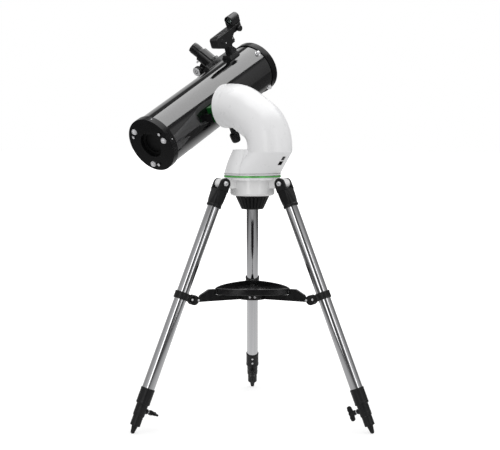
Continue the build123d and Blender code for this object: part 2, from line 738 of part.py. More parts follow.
MOTOR_R = 12.0
MOTOR_LENGTH = 42.0
MOTOR_PLATE_T = 2.5
ALT_GEAR_R = 40.0
ALT_GEAR_T = 6.0
ALT_GEAR_Y = HEAD_FACE_Y - SHELL - BOSS_DEPTH - GAP - ALT_GEAR_T
MOTOR_PLATE_Y = ALT_GEAR_Y - 6.0
MOTOR_LEVEL = 26.0

with BuildPart() as motor_plate:
    add(inner_form.part)
    with BuildSketch(Plane.XZ.offset(-MOTOR_PLATE_Y)):
        with Locations((0, ALT_Z)):
            Circle(ARM_R)
            Circle(AXLE_R + 2.0, mode=Mode.SUBTRACT)
    extrude(amount=MOTOR_PLATE_T, mode=Mode.INTERSECT)

with BuildPart() as gear_motors:
    with Locations((0, GEAR_R + MOTOR_R + 2.0, PLATE_Z + FLOOR_T)):
        Cylinder(MOTOR_R, MOTOR_LENGTH, align=UP)
    add(motor_plate.part)
    with BuildSketch(Plane.XZ.offset(-MOTOR_PLATE_Y + MOTOR_PLATE_T)):
        with Locations((0, ALT_Z - MOTOR_LEVEL)):
            Circle(MOTOR_R)
    extrude(amount=MOTOR_LENGTH)

BOARD_W = 62.0
BOARD_D = 34.0
BOARD_T = 1.6
BOARD_Y = -44.0
STANDOFF = 8.0

with BuildPart() as circuit_board:
    with Locations((0, BOARD_Y, PLATE_Z + FLOOR_T + STANDOFF)):
        Box(BOARD_W, BOARD_D, BOARD_T, align=UP)
        with GridLocations(BOARD_W - 8.0, BOARD_D - 8.0, 2, 2):
            Cylinder(2.5, STANDOFF, align=(Align.CENTER, Align.CENTER, Align.MAX))

SOCKET_RECESS = 8.0
SOCKET_WALL = 2.0
PANEL_DEPTH = 6.5
PANEL_T = 2.5

with BuildPart() as socket_panel:
    with BuildSketch(port_plane.offset(-PANEL_DEPTH - PANEL_T)):
        Rectangle(SOCKET_W + 10.0, SOCKET_H + SWITCH_H + 10.0)
    extrude(amount=PANEL_T)
    with BuildSketch(port_plane.offset(-PANEL_DEPTH)):
        with Locations((0, PORT_PITCH / 2)):
            Rectangle(SOCKET_W, SOCKET_H)
        with Locations((0, -PORT_PITCH / 2)):
            Rectangle(SWITCH_W, SWITCH_H)
    extrude(amount=PANEL_DEPTH - 1.0)
    with BuildSketch(port_plane):
        with Locations((0, PORT_PITCH / 2)):
            Rectangle(SOCKET_W - 2 * SOCKET_WALL, SOCKET_H - 2 * SOCKET_WALL)
    extrude(amount=-SOCKET_RECESS, mode=Mode.SUBTRACT)

write(arm_housing, "arm_housing", SHIFT)
write(front_cover, "front_cover", SHIFT)
write(azimuth_plate, "azimuth_plate", SHIFT)
write(gear_motors, "gear_motors", SHIFT)
write(circuit_board, "circuit_board", SHIFT)
write(socket_panel, "socket_panel", SHIFT)

# ---------------------------------------------------------------- saddle
BAR_Y = HEAD_FACE_Y + SADDLE_GAP + SADDLE_T
JAW_TOP = BAR_Y + BAR_DEPTH
SPLIT_Z = -TUBE_DROP - BAR_HALF
JAW_FACE = 0.3

with BuildPart() as saddle:
    with BuildSketch(Plane.XZ.offset(-BAR_Y)):
        with Locations((0, (SPLIT_Z + SADDLE_HIGH) / 2)):
            RectangleRounded(SADDLE_LENGTH, SADDLE_HIGH - SPLIT_Z, 2.0)
    extrude(amount=SADDLE_T)
    with BuildSketch(Plane.YZ.offset(-SADDLE_LENGTH / 2)):
        with BuildLine():
            Polyline(
                (BAR_Y, -TUBE_DROP + BAR_HALF + RUN),
                (JAW_TOP, -TUBE_DROP + BAR_HALF - BAR_SLOPE + RUN),
                (JAW_TOP, SADDLE_HIGH),
                (BAR_Y, SADDLE_HIGH),
                close=True,
            )
        make_face()
    extrude(amount=SADDLE_LENGTH)
    with BuildSketch(Plane.XZ.offset(-HEAD_FACE_Y - SADDLE_GAP)):
        Circle(AXLE_R)
    extrude(amount=SADDLE_GAP + SHELL + BOSS_DEPTH + ALT_GEAR_T + 2 * GAP)
    with BuildSketch(Plane.XY.offset(SPLIT_Z)):
        with Locations((0, SCREW_Y)):
            Circle(SCREW_R + RUN)
    extrude(amount=-SPLIT_Z, mode=Mode.SUBTRACT)

with BuildPart() as altitude_gear:
    with BuildSketch(Plane.XZ.offset(-ALT_GEAR_Y - ALT_GEAR_T)):
        Circle(ALT_GEAR_R)
        Circle(AXLE_R + RUN, mode=Mode.SUBTRACT)
        with PolarLocations(ALT_GEAR_R, 2 * GEAR_TEETH):
            Rectangle(2 * TOOTH_DEPTH, pi * ALT_GEAR_R / (2 * GEAR_TEETH), mode=Mode.SUBTRACT)
    extrude(amount=ALT_GEAR_T)

JAW_HIGH = SPLIT_Z - JAW_FACE

with BuildPart() as saddle_jaw:
    with BuildSketch(Plane.YZ.offset(-JAW_LENGTH / 2)):
        with BuildLine():
            Polyline(
                (BAR_Y - SADDLE_T, SADDLE_LOW),
                (BAR_Y - SADDLE_T, JAW_HIGH),
                (BAR_Y, JAW_HIGH),
                (JAW_TOP, JAW_HIGH + BAR_SLOPE),
                (JAW_TOP, SADDLE_LOW),
                close=True,
            )
        make_face()
    extrude(amount=JAW_LENGTH)
    with BuildSketch(Plane.XY.offset(SADDLE_LOW)):
        with Locations((0, SCREW_Y)):
            Circle(SCREW_R + RUN)
    extrude(amount=JAW_HIGH - SADDLE_LOW, mode=Mode.SUBTRACT)

CLAMP_FLUTES = 12
with BuildPart() as saddle_knob:
    with BuildSketch(Plane.XY.offset(-CLAMP_KNOB_DROP - CLAMP_KNOB_LENGTH)):
        with Locations((0, SCREW_Y)):
            Circle(CLAMP_KNOB_R)
            with PolarLocations(CLAMP_KNOB_R + 0.6, CLAMP_FLUTES):
                Circle(1.8, mode=Mode.SUBTRACT)
    extrude(amount=CLAMP_KNOB_LENGTH)
    fillet(saddle_knob.edges().group_by(Axis.Z)[0], 0.8)
    with Locations((0, SCREW_Y, -CLAMP_KNOB_DROP)):
        Cylinder(CLAMP_NECK_R, CLAMP_KNOB_DROP - ARM_R - HEAD_STEP - GAP, align=UP)
        Cylinder(CLAMP_SPACER_R, CLAMP_KNOB_DROP + SADDLE_LOW - GAP, align=UP)
        Cylinder(SCREW_R, CLAMP_KNOB_DROP - JAW_TRAVEL - GAP, align=UP)

with BuildPart() as dovetail_bar:
    with BuildSketch(Plane.YZ.offset(-BAR_LENGTH / 2)):
        with BuildLine():
            Polyline(
                (BAR_Y, -TUBE_DROP - BAR_HALF),
                (BAR_Y, -TUBE_DROP + BAR_HALF),
                (JAW_TOP, -TUBE_DROP + BAR_HALF - BAR_SLOPE),
                (TUBE_Y - TUBE_R + 4.0, -TUBE_DROP + BAR_HALF - BAR_SLOPE),
                (TUBE_Y - TUBE_R + 4.0, -TUBE_DROP - BAR_HALF + BAR_SLOPE),
                (JAW_TOP, -TUBE_DROP - BAR_HALF + BAR_SLOPE),
                close=True,
            )
        make_face()
    extrude(amount=BAR_LENGTH)
    with BuildSketch(tube_plane(-BAR_LENGTH / 2)):
        Circle(TUBE_R)
    extrude(amount=BAR_LENGTH, mode=Mode.SUBTRACT)

write(saddle, "saddle", TILT)
write(altitude_gear, "altitude_gear", TILT)
write(saddle_jaw, "saddle_jaw", TILT)
write(saddle_knob, "saddle_knob", TILT)
write(dovetail_bar, "dovetail_bar", TILT)

# ---------------------------------------------------------------- optical tube
FOCUS_HOLE_R = DRAW_R + 1.5

with BuildPart() as optical_tube:
    with BuildSketch(tube_plane(TUBE_REAR + CELL_PLATE + RUN)):
        Circle(TUBE_R)
        Circle(TUBE_R - TUBE_WALL, mode=Mode.SUBTRACT)
    extrude(amount=TUBE_FRONT - TUBE_REAR - 2 * CELL_PLATE - 2 * RUN)
    with BuildSketch(outward_plane(FOCUS_X, FOCUS_ANGLE)):
        Circle(FOCUS_HOLE_R)
    extrude(amount=TUBE_R + 5.0, mode=Mode.SUBTRACT)
    for v in range(VANES):
        angle = SPIDER_ANGLE + v * 360.0 / VANES
        with BuildSketch(outward_plane(SPIDER_X, angle)):
            Circle(SCREW_R + RUN)
        extrude(amount=TUBE_R + 5.0, mode=Mode.SUBTRACT)


def polar_angle(angle):
    """Sketch angle on a tube plane of a direction measured from the tube's top."""
    return 90.0 - angle


KNOB_SCREW_R = 2.0
LOCK_HEAD_R = 4.0
LOCK_HEAD_T = 3.0
HOLDER_X = TUBE_REAR + CELL_PLATE + HOLDER_GAP
HOLDER_R = TUBE_R - TUBE_WALL - 3.0

with BuildPart() as rear_cell:
    with BuildSketch(tube_plane(TUBE_REAR)):
        Circle(END_RING_R)
        Circle(CELL_HOLE_R, mode=Mode.SUBTRACT)
    extrude(amount=CELL_PLATE)
    with BuildSketch(tube_plane(TUBE_REAR)):
        Circle(END_RING_R)
        Circle(TUBE_R + RUN, mode=Mode.SUBTRACT)
    extrude(amount=REAR_RING)
    with BuildSketch(tube_plane(TUBE_REAR)):
        Circle(CELL_HOLE_R + 4.0)
        Circle(CELL_HOLE_R, mode=Mode.SUBTRACT)
    extrude(amount=CELL_PLATE + HOLDER_GAP - 1.0)
    fillet(rear_cell.edges().group_by(Axis.X)[0].sort_by(SortBy.RADIUS)[-1], 1.5)
    with BuildSketch(tube_plane(TUBE_REAR)):
        with PolarLocations(COLLIMATION_PCR, 3, start_angle=polar_angle(COLLIMATION_ANGLE)):
            Circle(KNOB_SCREW_R + RUN)
    extrude(amount=CELL_PLATE, mode=Mode.SUBTRACT)
    lock_direction = polar_angle(COLLIMATION_ANGLE + LOCK_ANGLE)
    with BuildSketch(tube_plane(TUBE_REAR - LOCK_HEAD_T)):
        with PolarLocations(COLLIMATION_PCR, 3, start_angle=lock_direction):
            Circle(LOCK_HEAD_R)
    extrude(amount=LOCK_HEAD_T)
    with BuildSketch(tube_plane(TUBE_REAR)):
        with PolarLocations(COLLIMATION_PCR, 3, start_angle=lock_direction):
            Circle(KNOB_SCREW_R)
    extrude(amount=CELL_PLATE + HOLDER_GAP)

with BuildPart() as mirror_holder:
    with BuildSketch(tube_plane(HOLDER_X)):
        Circle(HOLDER_R)
        Circle(CELL_HOLE_R - 8.0, mode=Mode.SUBTRACT)
        with PolarLocations(COLLIMATION_PCR, 3, start_angle=polar_angle(COLLIMATION_ANGLE)):
            Circle(KNOB_SCREW_R + RUN, mode=Mode.SUBTRACT)
    extrude(amount=HOLDER_T)
    with BuildSketch(tube_plane(HOLDER_X + HOLDER_T)):
        Circle(HOLDER_R)
        Circle(MIRROR_R + RUN, mode=Mode.SUBTRACT)
    extrude(amount=MIRROR_T)

with BuildPart() as primary_mirror:
    with BuildSketch(tube_plane(HOLDER_X + HOLDER_T)):
        Circle(MIRROR_R)
    extrude(amount=MIRROR_T)

COLLIMATION_T = 8.0
collimation_knobs = []
for j in range(3):
    direction = polar_angle(COLLIMATION_ANGLE - j * 120.0)
    with BuildPart() as collimation_knob:
        with BuildSketch(tube_plane(TUBE_REAR - GAP)):
            with PolarLocations(COLLIMATION_PCR, 1, start_angle=direction):
                Circle(COLLIMATION_R)
                with PolarLocations(COLLIMATION_R, 16):
                    Circle(0.6, mode=Mode.SUBTRACT)
        extrude(amount=-COLLIMATION_T)
        with BuildSketch(tube_plane(TUBE_REAR - GAP)):
            with PolarLocations(COLLIMATION_PCR, 1, start_angle=direction):
                Circle(KNOB_SCREW_R)
        extrude(amount=CELL_PLATE + HOLDER_GAP + HOLDER_T)
    collimation_knobs.append(collimation_knob)

FRONT_LIP_R = 67.0
with BuildPart() as front_ring:
    with BuildSketch(tube_plane(TUBE_FRONT - CELL_PLATE)):
        Circle(END_RING_R)
        Circle(FRONT_LIP_R, mode=Mode.SUBTRACT)
    extrude(amount=CELL_PLATE)
    with BuildSketch(tube_plane(TUBE_FRONT - FRONT_RING)):
        Circle(END_RING_R)
        Circle(TUBE_R + RUN, mode=Mode.SUBTRACT)
    extrude(amount=FRONT_RING)
    fillet(front_ring.edges().group_by(Axis.X)[-1].sort_by(SortBy.RADIUS)[-1], 1.5)

SPIDER_HUB_R = 12.0
NUT_OUT = TUBE_R + 3.6
SECONDARY_T = 5.0
SECONDARY_BACK = FOCUS_X + SECONDARY_R + 10.0
STALK_R = 4.0

mirror_face = Plane(
    origin=(FOCUS_X, TUBE_Y, -TUBE_DROP),
    z_dir=(-1, sin(radians(FOCUS_ANGLE)), cos(radians(FOCUS_ANGLE))),
)

with BuildPart() as secondary_blank:
    with BuildSketch(tube_plane(FOCUS_X - 2 * SECONDARY_R)):
        Circle(SECONDARY_R)
    extrude(amount=SECONDARY_BACK - FOCUS_X + 2 * SECONDARY_R)
    split(bisect_by=mirror_face, keep=Keep.BOTTOM)

with BuildPart() as spider:
    add(secondary_blank.part)
    split(bisect_by=mirror_face.offset(-SECONDARY_T), keep=Keep.BOTTOM)
    with BuildSketch(tube_plane(SPIDER_X - VANE_W)):
        Circle(SPIDER_HUB_R)
    extrude(amount=2 * VANE_W)
    with BuildSketch(tube_plane(SECONDARY_BACK - 1.0)):
        Circle(STALK_R)
    extrude(amount=SPIDER_X - SECONDARY_BACK)
    for v in range(VANES):
        angle = SPIDER_ANGLE + v * 360.0 / VANES
        with BuildSketch(outward_plane(SPIDER_X, angle)):
            Rectangle(VANE_W, VANE_T)
        extrude(amount=TUBE_R - TUBE_WALL - RUN)
        with BuildSketch(outward_plane(SPIDER_X, angle, TUBE_R - TUBE_WALL - 6.0)):
            Circle(SCREW_R)
        extrude(amount=NUT_OUT - TUBE_R + TUBE_WALL + 6.0)
        with BuildSketch(outward_plane(SPIDER_X, angle, TUBE_R + RUN)):
            Circle(NUT_R - 0.6)
        extrude(amount=NUT_OUT - TUBE_R)
        with Locations(outward_plane(SPIDER_X, angle, NUT_OUT)):
            Sphere(NUT_R)
        with BuildSketch(outward_plane(SPIDER_X, angle, TUBE_R - TUBE_WALL - RUN)):
            Circle(2 * NUT_R)
            Circle(SCREW_R, mode=Mode.SUBTRACT)
        extrude(amount=TUBE_WALL + 2 * RUN, mode=Mode.SUBTRACT)

with BuildPart() as secondary_mirror:
    add(secondary_blank.part)
    split(bisect_by=mirror_face.offset(-SECONDARY_T), keep=Keep.TOP)

write(optical_tube, "optical_tube", TILT)
write(rear_cell, "rear_cell", TILT)
write(mirror_holder, "mirror_holder", TILT)
write(primary_mirror, "primary_mirror", TILT)
for j, collimation_knob in enumerate(collimation_knobs, start=1):
    write(collimation_knob, f"collimation_knob_{j}", TILT)
write(front_ring, "front_ring", TILT)
write(spider, "spider", TILT)
write(secondary_mirror, "secondary_mirror", TILT)

# ---------------------------------------------------------------- focuser
# sketches lie square to the focuser's axis; their x runs along the tube
PINION_Y = DRAW_R + PINION_PITCH_R
BOX_HALF = 16.0
BOX_WALL = 4.0
BOX_TOP = PINION_LEVEL + PINION_PITCH_R + BOX_WALL
BOX_OUT = PINION_Y + PINION_PITCH_R + BOX_WALL
RACK_PITCH = 2 * pi * PINION_PITCH_R / PINION_TEETH
RACK_SLOT = 1.9
RACK_DEPTH = 1.4
PINION_LENGTH = 10.0

with BuildPart() as focuser_body:
    with BuildSketch(outward_plane(FOCUS_X, FOCUS_ANGLE, TUBE_R - 14.0)):
        RectangleRounded(FLANGE_LENGTH, FLANGE_WIDTH, 6.0)
    extrude(amount=FLANGE_TOP - TUBE_R + 14.0)
    with BuildSketch(outward_plane(FOCUS_X, FOCUS_ANGLE, FLANGE_TOP - 2.0)):
        Circle(HOUSING_R)
    extrude(amount=HOUSING_TOP - FLANGE_TOP + 2.0)
    with BuildSketch(outward_plane(FOCUS_X, FOCUS_ANGLE, FLANGE_TOP - 2.0)):
        with Locations((0, BOX_OUT / 2)):
            Rectangle(2 * BOX_HALF, BOX_OUT)
    extrude(amount=BOX_TOP - FLANGE_TOP + 2.0)
    with BuildSketch(outward_plane(FOCUS_X, FOCUS_ANGLE, TUBE_R - 14.0)):
        Circle(DRAW_R + RUN)
    extrude(amount=BOX_TOP, mode=Mode.SUBTRACT)
    with BuildSketch(tube_plane(FOCUS_X - FLANGE_LENGTH)):
        Circle(TUBE_R + RUN)
    extrude(amount=2 * FLANGE_LENGTH, mode=Mode.SUBTRACT)
    shaft_plane = Plane(
        origin=outward_plane(FOCUS_X - BOX_HALF, FOCUS_ANGLE, PINION_LEVEL).origin,
        x_dir=outward_plane(0, FOCUS_ANGLE).y_dir,
        z_dir=(1, 0, 0),
    )
    with BuildSketch(shaft_plane):
        with Locations((PINION_Y, 0)):
            Circle(SHAFT_R + RUN)
    extrude(amount=2 * BOX_HALF, mode=Mode.SUBTRACT)
    with BuildSketch(shaft_plane.offset(BOX_HALF - PINION_LENGTH / 2 - GAP)):
        with Locations((PINION_Y - PINION_PITCH_R, 0)):
            Rectangle(4 * PINION_PITCH_R + 4 * GAP, 2 * PINION_PITCH_R + 4 * GAP)
    extrude(amount=PINION_LENGTH + 2 * GAP, mode=Mode.SUBTRACT)

with BuildPart() as drawtube:
    with BuildSketch(outward_plane(FOCUS_X, FOCUS_ANGLE, DRAW_BOTTOM)):
        Circle(DRAW_R)
        Circle(EYEPIECE_BORE_R, mode=Mode.SUBTRACT)
    extrude(amount=DRAW_TOP - DRAW_BOTTOM)
    rack = Plane(
        origin=outward_plane(FOCUS_X, FOCUS_ANGLE, PINION_LEVEL).origin,
        x_dir=outward_plane(0, FOCUS_ANGLE).y_dir,
        z_dir=(1, 0, 0),
    )
    slots_up = int((DRAW_TOP - PINION_LEVEL) / RACK_PITCH)
    slots_down = int((PINION_LEVEL - DRAW_BOTTOM) / RACK_PITCH)
    with BuildSketch(rack.offset(-PINION_LENGTH / 2 - GAP)):
        for n in range(-slots_down, slots_up):
            with Locations((DRAW_R, n * RACK_PITCH)):
                Rectangle(2 * RACK_DEPTH, RACK_SLOT)
    extrude(amount=PINION_LENGTH + 2 * GAP, mode=Mode.SUBTRACT)

KNOB_OUT = FOCUS_KNOB_IN + FOCUS_KNOB_T
with BuildPart() as focus_shaft:
    knob_plane = rack.offset(-KNOB_OUT)
    with BuildSketch(knob_plane):
        with Locations((PINION_Y, 0)):
            Circle(SHAFT_R)
    extrude(amount=2 * KNOB_OUT)
    for start in (0.0, KNOB_OUT + FOCUS_KNOB_IN):
        with BuildSketch(knob_plane.offset(start)):
            with Locations((PINION_Y, 0)):
                Circle(FOCUS_KNOB_R)
                with PolarLocations(FOCUS_KNOB_R, 24):
                    Circle(0.8, mode=Mode.SUBTRACT)
        extrude(amount=FOCUS_KNOB_T)
    with BuildSketch(rack.offset(-PINION_LENGTH / 2)):
        with Locations((PINION_Y, 0)):
            Circle(PINION_PITCH_R - 1.0)
            with PolarLocations(PINION_PITCH_R / 2, PINION_TEETH):
                Rectangle(PINION_PITCH_R + 2 * PINION_TIP, TOOTH_W)
    extrude(amount=PINION_LENGTH)

EYE_GROOVES = 3
with BuildPart() as eyepiece:
    with BuildSketch(outward_plane(FOCUS_X, FOCUS_ANGLE, DRAW_TOP - BARREL_LENGTH)):
        Circle(BARREL_R)
        Circle(BARREL_R - 1.2, mode=Mode.SUBTRACT)
    extrude(amount=BARREL_LENGTH + GAP)
    with BuildSketch(outward_plane(FOCUS_X, FOCUS_ANGLE, DRAW_TOP + GAP)):
        Circle(EYEPIECE_R)
        Circle(BARREL_R - 4.0, mode=Mode.SUBTRACT)
    extrude(amount=EYEPIECE_TOP - DRAW_TOP - GAP)
    for n in range(EYE_GROOVES):
        with BuildSketch(outward_plane(FOCUS_X, FOCUS_ANGLE, DRAW_TOP + 12.0 + 4.0 * n)):
            Circle(EYEPIECE_R + 1.0)
            Circle(EYEPIECE_R - 0.8, mode=Mode.SUBTRACT)
        extrude(amount=1.6, mode=Mode.SUBTRACT)
    with BuildSketch(outward_plane(FOCUS_X, FOCUS_ANGLE, EYEPIECE_TOP - 5.0)):
        Circle(BARREL_R - 3.9)
    extrude(amount=-3.0)

write(focuser_body, "focuser_body", TILT)
write(drawtube, "drawtube", TILT)
write(focus_shaft, "focus_shaft", TILT)
write(eyepiece, "eyepiece", TILT)

# ---------------------------------------------------------------- red dot finder
# drawn in the plane through the tube's axis and the finder: x along the tube, y outward
finder_plane = Plane(
    origin=(0, TUBE_Y, -TUBE_DROP),
    x_dir=(1, 0, 0),
    z_dir=-outward_plane(0, FINDER_ANGLE).y_dir,
)
SHOE_BACK = SHOE_X - SHOE_LENGTH / 2
SHOE_FRONT = SHOE_X + SHOE_LENGTH / 2

with BuildPart() as finder_bracket:
    with BuildSketch(outward_plane(SHOE_X, FINDER_ANGLE, TUBE_R - 8.0)):
        Rectangle(SHOE_LENGTH, SHOE_WIDTH)
    with BuildSketch(outward_plane(SHOE_X, FINDER_ANGLE, SHOE_TOP)):
        Rectangle(SHOE_LENGTH - 4.0, SHOE_WIDTH - 8.0)
    loft()
    with BuildSketch(finder_plane.offset(-FINDER_W / 2 + 4.0)):
        with BuildLine():
            Polyline(
                (SHOE_X - 8.0, SHOE_TOP - 1.0),
                (SHOE_FRONT - 3.0, SHOE_TOP - 1.0),
                (SHOE_FRONT + 2.0, SHOE_TOP + 4.0),
                (SHOE_X + 3.0, STALK_TOP),
                (SHOE_FRONT + 2.0, STALK_TOP + 1.0),
                (SHOE_FRONT + 2.0, CRADLE_TOP),
                (SHOE_BACK - 6.0, CRADLE_TOP),
                (SHOE_BACK - 6.0, STALK_TOP + 1.0),
                (SHOE_X - 8.0, STALK_TOP),
                close=True,
            )
        make_face()
    extrude(amount=FINDER_W - 8.0)
    with BuildSketch(tube_plane(SHOE_BACK)):
        Circle(TUBE_R + RUN)
    extrude(amount=SHOE_LENGTH, mode=Mode.SUBTRACT)

FINDER_KNOB_SETBACK = 15.0
KNOB_X = FINDER_FRONT - FINDER_KNOB_SETBACK
KNOB_LEVEL = FINDER_CHIN + 5.0
FINDER_KNOB_T = 9.0

with BuildPart() as finder_body:
    with BuildSketch(finder_plane.offset(-FINDER_W / 2)):
        with BuildLine():
            Polyline(
                (FINDER_BACK, CRADLE_TOP + 8.0),
                (FINDER_BACK + 5.0, CRADLE_TOP + 4.0),
                (SHOE_BACK - 10.0, CRADLE_TOP + RUN),
                (SHOE_FRONT, CRADLE_TOP + RUN),
                (SHOE_FRONT - 4.0, CRADLE_TOP + 13.0),
                (SHOE_FRONT + 3.0, FINDER_CHIN),
                (FINDER_FRONT, FINDER_CHIN),
                (FINDER_FRONT, FINDER_DECK + 4.0),
                (FINDER_BACK + 4.0, FINDER_DECK),
                (FINDER_BACK, FINDER_DECK - 4.0),
                close=True,
            )
        make_face()
    extrude(amount=FINDER_W)
    hood_plane = Plane(origin=finder_plane.origin, x_dir=finder_plane.y_dir, z_dir=(1, 0, 0))
    with BuildSketch(hood_plane.offset(HOOD_BACK)):
        with Locations((HOOD_LEVEL, 0)):
            Circle(HOOD_R)
        with Locations((HOOD_LEVEL - HOOD_R / 2 - 3.0, 0)):
            Rectangle(HOOD_R + 6.0, 2 * HOOD_R - 4.0)
        with Locations((HOOD_LEVEL, 0)):
            Circle(WINDOW_R, mode=Mode.SUBTRACT)
    extrude(amount=HOOD_LENGTH)
    with BuildSketch(finder_plane.offset(-FINDER_W / 2)):
        with Locations((KNOB_X, KNOB_LEVEL)):
            Circle(SCREW_R + RUN)
    extrude(amount=FINDER_W, mode=Mode.SUBTRACT)

with BuildPart() as finder_knob:
    with BuildSketch(finder_plane.offset(FINDER_W / 2 + GAP)):
        with Locations((KNOB_X, KNOB_LEVEL)):
            Circle(FINDER_KNOB_R)
            with PolarLocations(FINDER_KNOB_R, 18):
                Circle(0.6, mode=Mode.SUBTRACT)
    extrude(amount=FINDER_KNOB_T)
    with BuildSketch(finder_plane.offset(FINDER_W / 2 + GAP)):
        with Locations((KNOB_X, KNOB_LEVEL)):
            Circle(SCREW_R)
    extrude(amount=-FINDER_W)

write(finder_bracket, "finder_bracket", TILT)
write(finder_body, "finder_body", TILT)
write(finder_knob, "finder_knob", TILT)
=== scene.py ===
"""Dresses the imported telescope: finishes, fine pieces, floor, lamps and camera.

Lengths are millimetres until a piece is placed, and angles are degrees.
"""

import json
from math import asin, atan2, cos, degrees, hypot, pi, radians, sin, tan

import bmesh
import bpy
from mathutils import Matrix, Vector


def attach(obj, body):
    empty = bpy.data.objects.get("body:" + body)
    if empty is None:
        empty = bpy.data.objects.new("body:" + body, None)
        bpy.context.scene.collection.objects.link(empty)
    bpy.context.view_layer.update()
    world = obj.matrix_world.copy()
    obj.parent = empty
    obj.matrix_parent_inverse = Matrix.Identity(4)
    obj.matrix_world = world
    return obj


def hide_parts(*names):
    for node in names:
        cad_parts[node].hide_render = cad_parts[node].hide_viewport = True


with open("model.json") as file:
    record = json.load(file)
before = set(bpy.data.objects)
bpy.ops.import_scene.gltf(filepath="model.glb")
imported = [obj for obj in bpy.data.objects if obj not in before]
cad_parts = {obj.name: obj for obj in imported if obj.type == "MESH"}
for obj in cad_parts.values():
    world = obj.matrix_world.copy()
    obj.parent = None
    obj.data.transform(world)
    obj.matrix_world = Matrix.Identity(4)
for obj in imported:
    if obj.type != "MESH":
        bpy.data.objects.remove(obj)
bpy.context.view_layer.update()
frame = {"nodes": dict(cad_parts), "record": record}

MM = 0.001
SHARP = radians(33)

# ---------------------------------------------------------------- places, as in part.py
AXIS_X = 27.0               # azimuth axis from the middle of the footprint
AXIS_Y = 15.5
LEG_COUNT = 3
FIRST_LEG = 40.0
HINGE_R = 90.3
HINGE_Z = 617.6
FOOT_R = 346.6
ALT_Z = 817.0
ALTITUDE = 27.5
TUBE_Y = 191.7
TUBE_DROP = 8.0


def at(x=0.0, y=0.0, z=0.0):
    return Matrix.Translation((x, y, z))


def turn(axis, angle):
    return Matrix.Rotation(radians(angle), 4, axis)


LEG_LENGTH = hypot(FOOT_R - HINGE_R, HINGE_Z)
LEG_SLOPE = degrees(atan2(FOOT_R - HINGE_R, HINGE_Z))
MOUNT = at(AXIS_X, AXIS_Y)
LEGS = [MOUNT @ turn("Z", FIRST_LEG + k * 360.0 / LEG_COUNT) for k in range(LEG_COUNT)]
HANG = at(HINGE_R, 0, HINGE_Z) @ turn("Y", -LEG_SLOPE)
TILT = MOUNT @ at(z=ALT_Z) @ turn("Y", -ALTITUDE)
TUBE = TILT @ at(y=TUBE_Y, z=-TUBE_DROP)
TO_X = turn("Y", 90)        # a turned shape's own z along x


def outward(x, angle, level=0.0):
    """Place on the tube: z points out at an angle from the tube's top, x along the tube."""
    return TUBE @ at(x=x) @ turn("X", -angle) @ at(z=level)


def leg_point(r, z):
    """A point of the leg's upright plane, in the hanging leg's own x and z."""
    dx, dz = r - HINGE_R, z - HINGE_Z
    c, s = cos(radians(LEG_SLOPE)), sin(radians(LEG_SLOPE))
    return dx * c + dz * s, dz * c - dx * s


# ---------------------------------------------------------------- finishes
def srgb(red, green, blue):
    """A screen colour from 0 to 255 as the linear colour that a shader takes."""
    def linear(v):
        v /= 255.0
        return v / 12.92 if v <= 0.04045 else ((v + 0.055) / 1.055) ** 2.4
    return linear(red), linear(green), linear(blue), 1.0


def shade(colour, factor):
    return tuple(min(1.0, c * factor) for c in colour[:3]) + (1.0,)


def node(tree, kind, values=None, **settings):
    """A shader node with its settings and its sockets' values."""
    made = tree.nodes.new(kind)
    for key, value in settings.items():
        setattr(made, key, value)
    for key, value in (values or {}).items():
        made.inputs[key].default_value = value
    return made


def spread(tree, source, low, high, start=0.35, end=0.65):
    """A noise value stretched over a range."""
    ranged = node(tree, "ShaderNodeMapRange", {1: start, 2: end, 3: low, 4: high})
    tree.links.new(source, ranged.inputs[0])
    return ranged.outputs[0]


